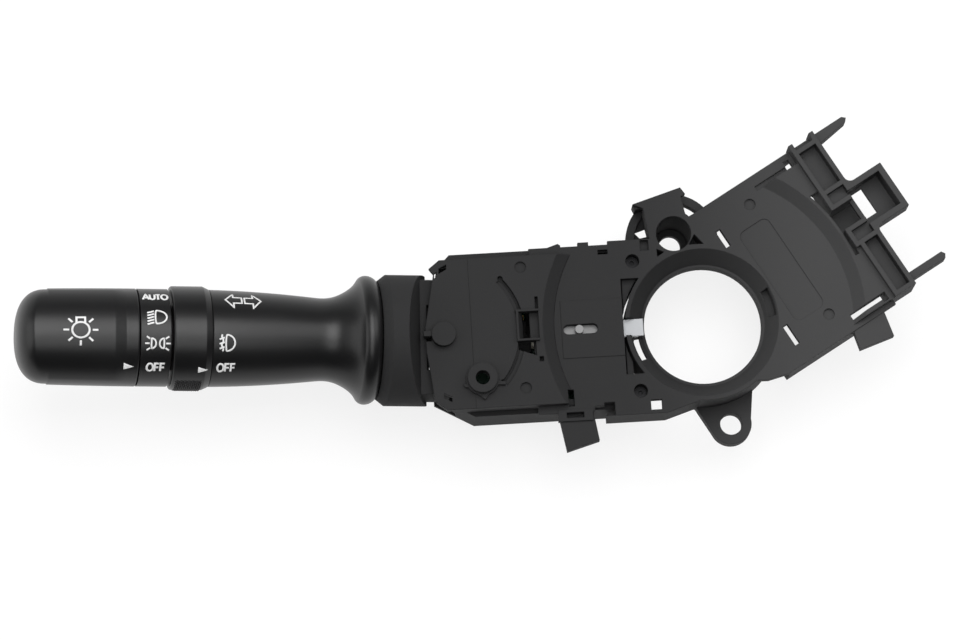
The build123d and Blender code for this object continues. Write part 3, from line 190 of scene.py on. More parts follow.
class StalkStage(bpy.types.PropertyGroup):
    """Camera, light and floor."""
    focal_px: FloatProperty(name="Focal length", description="In pixels of the picture",
                            default=6000.0, subtype="PIXEL")
    tilt: FloatProperty(name="Camera tilt", description="From straight above towards the lower edge",
                        default=math.radians(9.9), subtype="ANGLE")
    roll: FloatProperty(name="Camera roll", description="Turn of the picture",
                        default=math.radians(3.28), subtype="ANGLE")
    yaw: FloatProperty(name="Camera yaw", description="Turn towards the lever",
                       default=math.radians(-1.49), subtype="ANGLE")
    aside: FloatProperty(name="Aside", description="Picture middle along the lever",
                         default=-62.7 * MM, unit="LENGTH")
    above: FloatProperty(name="Above", description="Picture middle across the lever",
                         default=1.93 * MM, unit="LENGTH")
    distance: FloatProperty(name="Distance", description="Camera to the column bore",
                            default=1.6916, unit="LENGTH")
    key_power: FloatProperty(name="Key light", description="Soft box above the upper edge",
                             default=9.0, unit="POWER")
    low_power: FloatProperty(name="Low light", description="Soft box above the lower edge",
                             default=4.5, unit="POWER")
    key_size: FloatProperty(name="Key size", description="Side of both soft boxes",
                            default=0.75, unit="LENGTH")
    key_height: FloatProperty(name="Key height", description="Both soft boxes above the frame's zero",
                              default=1.15, unit="LENGTH")
    key_back: FloatProperty(name="Key offset", description="From the middle towards the upper and lower edge",
                            default=0.33, unit="LENGTH")
    fill_power: FloatProperty(name="Fill light", description="Small soft box beside the arm",
                              default=0.9, unit="POWER")
    fill_size: FloatProperty(name="Fill size", description="Side of the small soft box",
                             default=0.35, unit="LENGTH")
    fill_place: FloatVectorProperty(name="Fill place", description="Middle of the small soft box",
                                    default=(0.30, 0.15, 0.42), subtype="TRANSLATION", unit="LENGTH", size=3)
    fill_aim: FloatVectorProperty(name="Fill aim", description="Point of the arm that it looks at",
                                  default=(0.035, 0.02, 0.01), subtype="TRANSLATION", unit="LENGTH", size=3)
    end_power: FloatProperty(name="End light", description="Soft box beyond the knob",
                             default=2.6, unit="POWER")
    end_size: FloatProperty(name="End size", description="Side of the soft box beyond the knob",
                            default=0.7, unit="LENGTH")
    end_place: FloatVectorProperty(name="End place", description="Middle of the soft box beyond the knob",
                                   default=(-0.85, 0.05, 0.36), subtype="TRANSLATION", unit="LENGTH", size=3)
    floor_half: FloatProperty(name="Floor", description="Half the floor's side", default=3.0, unit="LENGTH")
    floor_gap: FloatProperty(name="Floor gap", description="Floor below the object",
                             default=0.2 * MM, unit="LENGTH")
    floor_white: FloatProperty(name="Floor white", description="Paleness of the floor",
                               default=0.97, subtype="FACTOR")
    floor_glow: FloatProperty(name="Floor glow", description="Share of plain white that lightens its shadows",
                              default=0.8, subtype="FACTOR")
    # Painted shade: the floor's colour and its white glow darken far from the object, standing in for light that
    # falls off
    floor_edge: FloatProperty(name="Floor edge", description="Paleness far from the object",
                              default=0.5, subtype="FACTOR")
    pale_from: FloatProperty(name="Pale from", description="Where the floor begins to darken",
                             default=0.122, unit="LENGTH")
    pale_to: FloatProperty(name="Pale to", description="Where the floor has darkened",
                           default=0.45, unit="LENGTH")
    pale_wide: FloatProperty(name="Pale width", description="How many times further it is pale along the lever",
                             default=2.2)


def sizes():
    """Sizes of this scene."""
    return bpy.context.scene.stalk_sizes


def colours():
    """Colours of this scene."""
    return bpy.context.scene.stalk_colours


# Meshes
def grid_faces(rows, columns):
    """Quads of a grid of points, row after row, whose last column is joined to its first."""
    row, column = np.meshgrid(np.arange(rows - 1), np.arange(columns), indexing="ij")
    here = row * columns + column
    right = row * columns + (column + 1) % columns
    return np.stack([here, right, right + columns, here + columns], axis=-1).reshape(-1, 4)


def outward(points, faces):
    """Faces of a closed mesh, all turned round if the volume that they enclose counts as negative."""
    volume = 0.0
    for face in faces:
        for i in range(1, len(face) - 1):
            volume += np.dot(points[face[0]], np.cross(points[face[i]], points[face[i + 1]]))
    return faces if volume > 0.0 else [face[::-1] for face in faces]


def mesh_object(name, points, faces, finish, body):
    """Mesh object at the origin made from arrays, with smooth faces, its finish and its body."""
    mesh = bpy.data.meshes.new(name)
    points = points.reshape(-1, 3)
    mesh.from_pydata(points.tolist(), [], outward(points - points.mean(axis=0), faces))
    mesh.polygons.foreach_set("use_smooth", np.ones(len(mesh.polygons), dtype=bool))
    mesh.materials.append(FINISHES[finish])
    mesh.update()
    made = bpy.data.objects.new(name, mesh)
    bpy.context.scene.collection.objects.link(made)
    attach(made, body)
    return made


def lever_point(distance, radius, turn):
    """Point at a distance from the pivot, a radius off the axis and a turn from the driver's side upwards."""
    around = np.cos(turn)[..., None] * FRONT + np.sin(turn)[..., None] * UP
    return PIVOT + distance[..., None] * OUT + radius[..., None] * around


def turned_points(distance, turn, radius):
    """Points of a grid that gives the radius over distance and turn."""
    return lever_point(np.broadcast_to(distance[:, None], radius.shape), radius,
                       np.broadcast_to(turn, radius.shape))


def smooth_step(value, low, high):
    """Zero below low, one above high, and a cubic between them."""
    share = np.clip((value - low) / (high - low), 0.0, 1.0)
    return share * share * (3.0 - 2.0 * share)


def smooth_least(a, b, blend):
    """Lesser of two values, rounded where they are closer than the blend."""
    share = np.clip(0.5 + 0.5 * (b - a) / blend, 0.0, 1.0)
    return b + (a - b) * share - blend * share * (1.0 - share)


def turned_piece(name, distance, turn, radius, finish, body):
    """Closed turned shell: radius over distance and turn on a grid, with both ends drawn in to the axis."""
    rows, columns = radius.shape
    ends = np.stack([PIVOT + distance[0] * OUT, PIVOT + distance[-1] * OUT])
    points = np.concatenate([turned_points(distance, turn, radius).reshape(-1, 3), ends])
    first, last = rows * columns, rows * columns + 1
    column = np.arange(columns)
    following = (column + 1) % columns
    base = (rows - 1) * columns
    faces = grid_faces(rows, columns).tolist()
    faces += np.stack([np.full(columns, first), following, column], axis=-1).tolist()
    faces += np.stack([np.full(columns, last), base + column, base + following], axis=-1).tolist()
    return mesh_object(name, points, faces, finish, body)


def turned_tube(name, distance, turn, radius, bore, finish, body):
    """Closed turned tube: an outer grid of radius over distance and turn, joined at both ends to a bore."""
    inner = np.full((2, len(turn)), bore)
    distance = np.concatenate([distance, distance[[-1, 0]]])
    radius = np.concatenate([radius, inner])
    rows, columns = radius.shape
    faces = grid_faces(rows + 1, columns) % (rows * columns)
    return mesh_object(name, turned_points(distance, turn, radius), faces.tolist(), finish, body)


# Finishes
# Where the frame's painted light, paler towards the arm, fades in along X
ARM_LIGHT_FADE = (-25.0 * MM, 40.0 * MM)
# Where the plunger's painted shade fades out along X, towards its clean acetal front
PLUNGER_SHADE_FADE = (-30.0 * MM, -24.0 * MM)
CLOUD_SCALE, CLOUD_DETAIL, CLOUD_TINT, CLOUD_SHEEN = 45.0, 4.0, (0.86, 1.14), 0.05
STREAK_SCALE, STREAK_DETAIL, STREAK_TINT, STREAK_SHEEN = 900.0, 2.0, (0.85, 1.0), 0.08
GRAIN_DETAIL, GRAIN_STRENGTH = 2.0, 0.35
EDGE_SAMPLES = 6
FINISHES = {}


def new_material(name):
    """Node material with its tree and its shader."""
    material = bpy.data.materials.new(name)
    material.use_nodes = True
    return material, material.node_tree, material.node_tree.nodes["Principled BSDF"]


def set_inputs(tree, node, inputs):
    """Set a node's inputs, named or numbered: each to a value or to another node's output."""
    for socket, value in inputs.items():
        if isinstance(value, bpy.types.NodeSocket):
            tree.links.new(value, node.inputs[socket])
        else:
            node.inputs[socket].default_value = value


def add_node(tree, kind, inputs, **settings):
    """New node of a kind, with its settings and then its inputs."""
    node = tree.nodes.new("ShaderNode" + kind)
    for name, value in settings.items():
        setattr(node, name, value)
    set_inputs(tree, node, inputs)
    return node


def object_place(tree):
    """Place on the piece, in Object coordinates."""
    return add_node(tree, "TexCoord", {}).outputs["Object"]


def noise(tree, place, scale, detail):
    """Noise texture over a place."""
    return add_node(tree, "TexNoise", {"Vector": place, "Scale": scale, "Detail": detail}).outputs["Fac"]


def shaded(tree, share, colour, shades):
    """Colour that wanders between two shades of itself."""
    low, high = [(*[shade * channel for channel in colour], 1.0) for shade in shades]
    return add_node(tree, "Mix", {"Factor": share, "A": low, "B": high}, data_type="RGBA").outputs["Result"]


def wandering(tree, share, middle, swing):
    """Value that wanders about its middle."""
    ends = {"Value": share, "To Min": middle - swing, "To Max": middle + swing}
    return add_node(tree, "MapRange", ends).outputs["Result"]


def eased(tree, value, start, end, first=0.0, last=1.0):
    """Value that goes smoothly from a first to a last level while another goes from start to end."""
    ends = {"Value": value, "From Min": start, "From Max": end, "To Min": first, "To Max": last}
    return add_node(tree, "MapRange", ends, interpolation_type="SMOOTHSTEP").outputs["Result"]


def faded(tree, place, near, far, start, end):
    """Colour that turns from a near to a far one between two places along X."""
    along = add_node(tree, "SeparateXYZ", {"Vector": place}).outputs["X"]
    ends = {"Factor": eased(tree, along, start, end), "A": near, "B": (*far, 1.0)}
    return add_node(tree, "Mix", ends, data_type="RGBA").outputs["Result"]


def moulded(name, colour, rough, grain, grain_depth, edge, specular, far=None):
    """Moulded plastic: faint colour clouds, fine grain in the bump and softly rounded edges.

    A far colour, given with where it starts and ends, takes over gradually towards +X. The frame uses it for
    painted light on its arm end, and the white plastic for painted shade on the plunger's back.
    """
    material, tree, shader = new_material(name)
    place = object_place(tree)
    clouds = noise(tree, place, CLOUD_SCALE, CLOUD_DETAIL)
    paint = shaded(tree, clouds, colour, CLOUD_TINT)
    rounding = add_node(tree, "Bevel", {"Radius": edge}, samples=EDGE_SAMPLES)
    bump = add_node(tree, "Bump", {"Strength": GRAIN_STRENGTH, "Distance": grain_depth,
                                   "Height": noise(tree, place, grain, GRAIN_DETAIL),
                                   "Normal": rounding.outputs["Normal"]})
    set_inputs(tree, shader, {"Base Color": faded(tree, place, paint, *far) if far else paint,
                              "Roughness": wandering(tree, clouds, rough, CLOUD_SHEEN),
                              "Normal": bump.outputs["Normal"], "Specular IOR Level": specular})
    return material


def plated(name, colour, rough):
    """Metal with fine drawn streaks in its colour and its roughness."""
    material, tree, shader = new_material(name)
    streaks = noise(tree, object_place(tree), STREAK_SCALE, STREAK_DETAIL)
    set_inputs(tree, shader, {"Base Color": shaded(tree, streaks, colour, STREAK_TINT), "Metallic": 1.0,
                              "Roughness": wandering(tree, streaks, rough, STREAK_SHEEN)})
    return material


def make_finishes():
    """All materials, by the record's slot, plus the printing ink and three nodes' own finishes."""
    c = colours()
    # The frame's far colour is painted light: the arm end is painted paler, as if lit more strongly
    FINISHES["frame_plastic"] = moulded("frame_plastic", c.frame_black, rough=0.75, grain=3200.0,
                                        grain_depth=0.10 * MM, edge=0.35 * MM, specular=0.16,
                                        far=(c.arm_painted_light, *ARM_LIGHT_FADE))
    FINISHES["lever_plastic"] = moulded("lever_plastic", c.lever_black, rough=0.34, grain=5200.0,
                                        grain_depth=0.04 * MM, edge=0.15 * MM, specular=0.33)
    # The plunger is painted darker at its back as painted shade in its guide, and takes its clean acetal colour
    # towards +X
    FINISHES["white_plastic"] = moulded("white_plastic", c.painted_shade_acetal, rough=0.35, grain=4000.0,
                                        grain_depth=0.02 * MM, edge=0.2 * MM, specular=0.5,
                                        far=(c.acetal, *PLUNGER_SHADE_FADE))
    FINISHES["turn_slider"] = moulded("filled_nylon", c.filled, rough=0.55, grain=3000.0,
                                      grain_depth=0.04 * MM, edge=0.2 * MM, specular=0.3)
    FINISHES["stalk_core"] = FINISHES["turn_slider"]
    FINISHES["pale_nylon"] = moulded("pale_nylon", c.nylon, rough=0.5, grain=3000.0,
                                     grain_depth=0.04 * MM, edge=0.2 * MM, specular=0.5)
    FINISHES["board_laminate"] = moulded("board_laminate", c.board, rough=0.35, grain=6000.0,
                                         grain_depth=0.01 * MM, edge=0.1 * MM, specular=0.5)
    FINISHES["ink"] = moulded("ink", c.ink, rough=0.5, grain=6000.0,
                              grain_depth=0.01 * MM, edge=0.02 * MM, specular=0.4)
    FINISHES["zinc_steel"] = plated("zinc_steel", c.steel, rough=0.35)
    FINISHES["contact_brass"] = plated("contact_brass", c.brass, rough=0.3)
    # Painted shade: the case screws are nearly black so that their deep holes read as shaded
    FINISHES["case_screws"] = plated("shade_dark_steel", c.screw, rough=0.55)


class STALK_OT_finishes(bpy.types.Operator):
    """Give every CAD node its finish"""
    bl_idname = "stalk.finishes"
    bl_label = "Finishes"

    def execute(self, context):
        make_finishes()
        for row in frame["record"]["subparts"]:
            materials = frame["nodes"][row["node"]].data.materials
            materials.clear()
            materials.append(FINISHES.get(row["node"]) or FINISHES[row["material_slot"]])
        return {"FINISHED"}


# Lever pieces
KNOB_ROWS, TIP_ROWS, KNOB_COLUMNS = 110, 40, 216
TIP_LENGTH = 3.0 * MM
POLE_RADIUS = 0.05 * MM
SEAM_SHARE = 0.6
DOME_POWER = 2.5
DOME_BLEND = 0.25 * MM
STALK_ROWS, STALK_COLUMNS = 90, 144
FLOW_STEPS = np.linspace(-2.0, 2.0, 17)
FOG_ROWS, PAD_COLUMNS, BAND_COLUMNS = 110, 160, 120
PAD_MARGIN = 1.2
PAD_FADE = 0.08
PAD_NEAR, PAD_FAR = (2.0 * MM, 2.6 * MM), (0.9 * MM, 1.4 * MM)
KNURL_SPAN, KNURL_SINK = 1.6, 0.3


def knob_radius(distance, turn):
    """Knob: a slight taper, a front and a back facet cut by flatter cylinders, and a superellipse dome."""
    s = sizes()
    share = (distance - KNOB_START) / (KNOB_END - KNOB_START)
    side = KNOB_RADIUS - s.knob_taper * share ** 2
    half_turn = 0.5 * math.pi
    off = (turn - s.facet_turn + half_turn) % math.pi - half_turn
    facet = np.sqrt((KNOB_RADIUS + s.facet_lean - s.facet_depth) ** 2 - (s.facet_lean * np.sin(off)) ** 2)
    cut = np.maximum(KNOB_RADIUS - facet + s.facet_lean * np.cos(off), 0.0)
    start = KNOB_START + s.knob_collar
    side = side - cut * np.clip((distance - start) / s.facet_ramp, 0.0, 1.0)
    into = np.clip((distance - (KNOB_END - s.knob_dome)) / s.knob_dome, 0.0, 1.0)
    dome = (KNOB_RADIUS - s.knob_taper) * (1.0 - into ** DOME_POWER) ** (1.0 / DOME_POWER)
    return np.where(into > 0.0, smooth_least(side, dome, DOME_BLEND), side)


class STALK_OT_knob(bpy.types.Operator):
    """Build the light knob with its two facets"""
    bl_idname = "stalk.knob"
    bl_label = "Light knob"

    def execute(self, context):
        edge = sizes().edge_round
        body = np.linspace(KNOB_START + edge, KNOB_END - TIP_LENGTH, KNOB_ROWS)
        tip = KNOB_END - TIP_LENGTH * np.cos(np.linspace(0.0, 0.5 * math.pi, TIP_ROWS)[1:])
        distance = np.concatenate([[KNOB_START, KNOB_START], body, tip])
        turn = np.linspace(0.0, FULL_TURN, KNOB_COLUMNS, endpoint=False)
        radius = knob_radius(distance[:, None], turn[None, :])
        radius[0] = SEAM_SHARE * KNOB_RADIUS
        radius[1] -= edge
        radius[-1] = POLE_RADIUS
        made = turned_piece("light_knob_shell", distance, turn, radius, "lever_plastic", "light_knob")
        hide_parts("light_knob")
        return {"FINISHED"}


def stalk_radius(distance, turn):
    """Stalk: the CAD outline's radius at each distance, averaged with its neighbours where the bell flows out.

    The weights of the neighbours fall off as a bell curve, and the radius is the same all round.
    """
    s = sizes()
    reach = s.stalk_flow * smooth_step(distance - STALK_START, s.bell_length, 2.0 * s.bell_length)
    weights = np.exp(-FLOW_STEPS ** 2)
    near = sum(weight * np.interp(distance + reach * step, *STALK_OUTLINE)
               for step, weight in zip(FLOW_STEPS, weights))
    return np.broadcast_arrays(near / weights.sum(), turn)[0]


class STALK_OT_stalk(bpy.types.Operator):
    """Build the stalk with its bell as one flowing skin"""
    bl_idname = "stalk.stalk"
    bl_label = "Stalk"

    def execute(self, context):
        bell = STALK_START + 2.0 * sizes().bell_length
        distance = np.concatenate([np.linspace(STALK_START, bell, STALK_ROWS, endpoint=False),
                                   np.linspace(bell, STALK_END, STALK_ROWS)])
        turn = np.linspace(0.0, FULL_TURN, STALK_COLUMNS, endpoint=False)
        radius = stalk_radius(distance[:, None], turn[None, :])
        made = turned_tube("lever_stalk_shell", distance, turn, radius, STALK_BORE, "lever_plastic", "lever")
        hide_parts("lever_stalk")
        return {"FINISHED"}


def saw(value):
    """Triangle wave between zero and one."""
    return np.abs(2.0 * (value - np.floor(value)) - 1.0)


def fog_radius(distance, turn):
    """Fog ring: a cone from the case side, a level band, a rounded edge, and a diamond knurl on the pad."""
    s = sizes()
    rise = np.clip((distance - FOG_START) / s.fog_ramp, 0.0, 1.0)
    side = FOG_RADIUS - s.fog_drop * (1.0 - rise)
    left = np.clip((FOG_END - distance) / (2.0 * s.edge_round), 0.0, 1.0)
    side = side - 2.0 * s.edge_round * (1.0 - np.sqrt(1.0 - (1.0 - left) ** 2))
    around = s.pad_half - np.abs((turn - s.pad_turn + math.pi) % FULL_TURN - math.pi)
    pad = smooth_step(around, 0.0, PAD_FADE)
    pad = pad * smooth_step(distance - FOG_START, *PAD_NEAR) * smooth_step(FOG_END - distance, *PAD_FAR)
    along, across = distance / s.knurl_pitch, FOG_RADIUS * turn / s.knurl_pitch
    peak = np.minimum(saw(along + across), saw(along - across))
    return side + s.knurl_depth * pad * (KNURL_SPAN * peak - KNURL_SINK)


class STALK_OT_fog_ring(bpy.types.Operator):
    """Build the fog ring with its knurled thumb pad"""
    bl_idname = "stalk.fog_ring"
    bl_label = "Fog ring"

    def execute(self, context):
        s = sizes()
        distance = np.linspace(FOG_START, FOG_END, FOG_ROWS)
        low, high = s.pad_turn - PAD_MARGIN * s.pad_half, s.pad_turn + PAD_MARGIN * s.pad_half
        turn = np.concatenate([np.linspace(low, high, PAD_COLUMNS, endpoint=False),
                               np.linspace(high, low + FULL_TURN, BAND_COLUMNS, endpoint=False)])
        radius = fog_radius(distance[:, None], turn[None, :])
        made = turned_tube("fog_ring_shell", distance, turn, radius, FOG_BORE, "lever_plastic", "fog_ring")
        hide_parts("fog_ring")
        return {"FINISHED"}


# Print: lines and shapes in millimetres, across to the right and upwards, on the lever's skin
INK_STEP = 0.3
MITRE_LEAST = 0.3
POINTER_ROWS = 14
LINE_COLUMNS, FILL_COLUMNS = 2, 5
INK_STAGGER, INK_LEVELS = 0.02, 7
AUTO_HALF, AUTO_GAP = 1.2, 0.28
OFF_HALF, OFF_GAP = 1.3, 0.45
POINTER_LENGTH, KNOB_POINTER_HALF, FOG_POINTER_HALF = 2.8, 1.13, 1.05

# Where a symbol's middle lies: millimetres out from the pivot, and degrees from the driver's side upwards
AUTO_AT, HEADLAMP_AT, SIDE_LAMPS_AT, LIGHT_OFF_AT = (82.4, 46.5), (82.3, 15.3), (82.1, -16.3), (82.4, -46.8)
FOG_OFF_AT, FOG_LAMP_AT, ARROWS_AT = (62.7, -46.8), (62.7, -14.9), (57.8, 43.3)
BULB_AT, KNOB_POINTER_AT, FOG_POINTER_AT = (103.4, -0.5), (89.9, -45.9), (69.2, -47.3)
STALK_PRINT_RADIUS = float(np.interp(60.0 * MM, *STALK_OUTLINE))


def arc(x, y, half_x, half_y, start, end, steps=24):
    """Points of an ellipse's arc between two angles in degrees."""
    turn = np.radians(np.linspace(start, end, steps))
    return np.stack([x + half_x * np.cos(turn), y + half_y * np.sin(turn)], axis=1).tolist()


def dense(path, closed):
    """Path with added points, so that no stretch of it is longer than the step."""
    path = [np.array(point, dtype=float) for point in path]
    pairs = zip(path, path[1:] + path[:1]) if closed else zip(path, path[1:])
    points = []
    for start, end in pairs:
        parts = max(1, int(np.ceil(np.linalg.norm(end - start) / INK_STEP)))
        points += [start + (end - start) * k / parts for k in range(parts)]
    return np.array(points if closed else points + [path[-1]])


def ribbon(path, width, closed):
    """Left and right edge of a line along a path, mitred at its corners."""
    path = dense(path, closed)
    ahead = np.roll(path, -1, axis=0) - path
    if not closed:
        ahead[-1] = ahead[-2]
    ahead /= np.linalg.norm(ahead, axis=1)[:, None]
    behind = np.roll(ahead, 1, axis=0)
    if not closed:
        behind[0] = ahead[0]
    side = np.stack([-ahead[:, 1], ahead[:, 0]], axis=1)
    mitre = side + np.stack([-behind[:, 1], behind[:, 0]], axis=1)
    mitre /= np.maximum((mitre * side).sum(axis=1), MITRE_LEAST)[:, None]
    return path + 0.5 * width * mitre, path - 0.5 * width * mitre


def pointer(length, half):
    """Left and right edge of a solid triangle that points to the right."""
    across = np.linspace(-0.5 * length, 0.5 * length, POINTER_ROWS)
    high = half * (0.5 - across / length)
    return np.stack([across, high], axis=1), np.stack([across, -high], axis=1)


def ink_slab(edges, closed, lift, place, skin):
    """Closed slab of ink between two edges, laid on a skin that gives the radius at a distance and a turn."""
    left, right = edges
    share = np.linspace(0.0, 1.0, LINE_COLUMNS if closed else FILL_COLUMNS)[None, :, None]
    flat = left[:, None, :] * (1.0 - share) + right[:, None, :] * share
    middle, turn, radius = place
    distance = middle - flat[..., 0] * MM
    angle = turn + flat[..., 1] * MM / radius
    height = skin(distance, angle)
    top = lever_point(distance, height + lift, angle)
    low = lever_point(distance, height - lift, angle)
    loop = np.concatenate([top, low[:, ::-1]], axis=1)
    rows, around = loop.shape[:2]
    points = loop.reshape(-1, 3)
    if closed:
        return points, (grid_faces(rows + 1, around) % len(points)).tolist()
    caps = [list(range(around))[::-1], list(range((rows - 1) * around, rows * around))]
    return points, grid_faces(rows, around).tolist() + caps


def print_piece(name, marks, body):
    """One mesh of ink marks: each has its edges, whether it is a closed line, its place and its skin.

    Neighbouring marks differ a little in height, so that lines that cross share no face.
    """
    points, faces, base = [], [], 0
    for k, (edges, closed, place, skin) in enumerate(marks):
        lift = sizes().ink_proud * (1.0 + INK_STAGGER * (k % INK_LEVELS))
        some, more = ink_slab(edges, closed, lift, place, skin)
        more = outward(some - some.mean(axis=0), more)
        faces += [[base + corner for corner in face] for face in more]
        points.append(some)
        base += len(some)
    return mesh_object(name, np.concatenate(points), faces, "ink", body)


# Each letter's width, and its lines across from 0 to 1 and upwards from -1 to 1
LETTERS = {
    "A": (1.75, [([(0.0, -1.0), (0.5, 1.0), (1.0, -1.0)], False), ([(0.2, -0.35), (0.8, -0.35)], False)]),
    "U": (1.3, [([(0.0, 1.0)] + arc(0.5, -0.4, 0.5, 0.6, 180, 360, 14) + [(1.0, 1.0)], False)]),
    "T": (1.3, [([(0.0, 1.0), (1.0, 1.0)], False), ([(0.5, 1.0), (0.5, -1.0)], False)]),
    "O": (1.75, [(arc(0.5, 0.0, 0.5, 1.0, 0, 345, 24), True)]),
    "F": (1.15, [([(1.0, 1.0), (0.0, 1.0), (0.0, -1.0)], False), ([(0.0, 0.02), (0.9, 0.02)], False)]),
}


def word(letters, half, gap):
    """Lines of a short word, centred, with its letters' half height and the gap between them."""
    total = sum(LETTERS[letter][0] for letter in letters) + gap * (len(letters) - 1)
    lines, x = [], -0.5 * total
    for letter in letters:
        wide, strokes = LETTERS[letter]
        lines += [([(x + wide * u, half * v) for u, v in path], closed) for path, closed in strokes]
        x += wide + gap
    return lines


def mirrored(lines):
    """Lines and their mirror images from left to right."""
    return lines + [([(-u, v) for u, v in path], closed) for path, closed in lines]


def bulb():
    """Light switch symbol: a round bulb with its cap and seven rays."""
    ray_start, ray_end = 3.25, 4.85
    lines = [(arc(0.0, 0.0, 2.4, 2.4, 0, 350, 48), True)]
    lines += [([(-1.2, 2.2), (-1.2, 3.9), (1.2, 3.9), (1.2, 2.2)], False)]
    for turn in (0, 180, 225, 270, 315):
        c, s = math.cos(math.radians(turn)), math.sin(math.radians(turn))
        lines.append(([(ray_start * c, ray_start * s), (ray_end * c, ray_end * s)], False))
    return lines + mirrored([([(2.3, 2.35), (3.45, 3.5)], False)])


def lamp_shell(x, half_x, half_y):
    """Lamp outline: a round lens on one side and a flat, slightly bowed back."""
    lens = arc(x, 0.0, half_x, half_y, -90, 90, 22)
    back = arc(x, 0.0, -0.12 * half_x, half_y, 90, -90, 12)
    return lens + back[1:-1], True


def headlamp():
    """Headlamp symbol: a lens with five slanted rays."""
    lines = [lamp_shell(-0.1, 2.85, 2.0)]
    top, pitch = 1.55, 0.86
    for k in range(5):
        y = top - pitch * k
        lines.append(([(-2.7, y - 0.3), (-0.8, y + 0.25)], False))
    return lines


def side_lamps():
    """Side lamp symbol: two lenses face to face, each with three rays behind it."""
    lines = [lamp_shell(-1.65, 1.15, 1.4), ([(-3.6, 0.0), (-2.3, 0.0)], False)]
    for side in (1, -1):
        lines.append(([(-3.15, side * 1.95), (-2.15, side * 1.3)], False))
    return mirrored(lines)


def fog_lamp():
    """Fog lamp symbol: a lens and three rays crossed by a wavy line."""
    lines = [lamp_shell(-0.1, 2.25, 2.25)]
    for y in (1.3, 0.0, -1.3):
        lines.append(([(-2.2, y - 0.28), (-0.75, y + 0.22)], False))
    wave = [(-1.35 + 0.22 * math.sin(2.6 * y), y) for y in np.linspace(2.35, -2.35, 20)]
    return lines + [(wave, False)]


def turn_arrows():
    """Turn signal symbol: two outlined arrows, back to back."""
    arrow = [(5.0, 0.0), (2.75, 3.0), (2.75, 1.25), (0.4, 1.25), (0.4, -1.25), (2.75, -1.25), (2.75, -3.0)]
    return mirrored([(arrow, True)])


def index_radius(distance, turn):
    """Index ring: the same radius everywhere."""
    return np.full(distance.shape, INDEX_RADIUS)


def spot(at, radius):
    """Place of a symbol in metres and radians, with the radius on which it is laid out."""
    distance, turn = at
    return distance * MM, math.radians(turn), radius


def drawn(lines, width, place, skin):
    """Marks of a symbol's lines at one width."""
    return [(ribbon(path, width / MM, closed), closed, place, skin) for path, closed in lines]


class STALK_OT_print(bpy.types.Operator):
    """Lay the printed symbols on the lever"""
    bl_idname = "stalk.print"
    bl_label = "Lever print"

    def execute(self, context):
        thin, bold = sizes().ink_line, sizes().ink_bold
        auto, off = word("AUTO", AUTO_HALF, AUTO_GAP), word("OFF", OFF_HALF, OFF_GAP)
        marks = []
        for lines, width, at in ((auto, bold, AUTO_AT), (headlamp(), thin, HEADLAMP_AT),
                                 (side_lamps(), thin, SIDE_LAMPS_AT), (off, bold, LIGHT_OFF_AT)):
            marks += drawn(lines, width, spot(at, INDEX_RADIUS), index_radius)
        for lines, width, at in ((off, bold, FOG_OFF_AT), (fog_lamp(), thin, FOG_LAMP_AT),
                                 (turn_arrows(), thin, ARROWS_AT)):
            marks += drawn(lines, width, spot(at, STALK_PRINT_RADIUS), stalk_radius)
        print_piece("lever_print", marks, "lever")
        knob = drawn(bulb(), bold, spot(BULB_AT, KNOB_RADIUS), knob_radius)
        knob.append((pointer(POINTER_LENGTH, KNOB_POINTER_HALF), False, spot(KNOB_POINTER_AT, KNOB_RADIUS),
                     knob_radius))
        print_piece("knob_print", knob, "light_knob")
        fog = [(pointer(POINTER_LENGTH, FOG_POINTER_HALF), False, spot(FOG_POINTER_AT, FOG_RADIUS), fog_radius)]
        print_piece("fog_print", fog, "fog_ring")
        return {"FINISHED"}


# Stage
FLOOR_ROUGH = 0.9
SKY_LEVELS = ((0.0, 0.85), (0.10, 0.85), (0.22, 0.16), (0.55, 0.20), (1.0, 0.75))
DARK_SIDE = {"From Min": -0.55, "From Max": 0.2, "To Min": 0.06}


def put(item, right, up, back, place):
    """Link a camera or a lamp into the scene, with its axes and its place."""
    rows = np.stack([right, up, back, place], axis=1)
    item.matrix_world = Matrix([*rows.tolist(), [0.0, 0.0, 0.0, 1.0]])
    bpy.context.scene.collection.objects.link(item)


def camera_frame(stage):
    """Camera axes: straight above, tilted, rolled and yawed, and its place from the column bore."""
    across = np.array([math.cos(stage.roll), -math.sin(stage.roll), 0.0])
    upward = np.array([math.sin(stage.roll), math.cos(stage.roll), 0.0])
    top = np.array([0.0, 0.0, 1.0])
    up = math.cos(stage.tilt) * upward + math.sin(stage.tilt) * top
    level = -math.sin(stage.tilt) * upward + math.cos(stage.tilt) * top
    right = math.cos(stage.yaw) * across - math.sin(stage.yaw) * level
    back = math.sin(stage.yaw) * across + math.cos(stage.yaw) * level
    place = stage.aside * right + stage.above * up + stage.distance * back
    return right, up, back, place


def make_camera(stage):
    """Long lens at the photograph's angle."""
    data = bpy.data.cameras.new("camera")
    data.sensor_width = SENSOR_WIDTH
    data.lens = stage.focal_px / IMAGE_WIDTH * SENSOR_WIDTH
    data.clip_end = FAR_CLIP
    camera = bpy.data.objects.new("camera", data)
    put(camera, *camera_frame(stage))
    bpy.context.scene.camera = camera


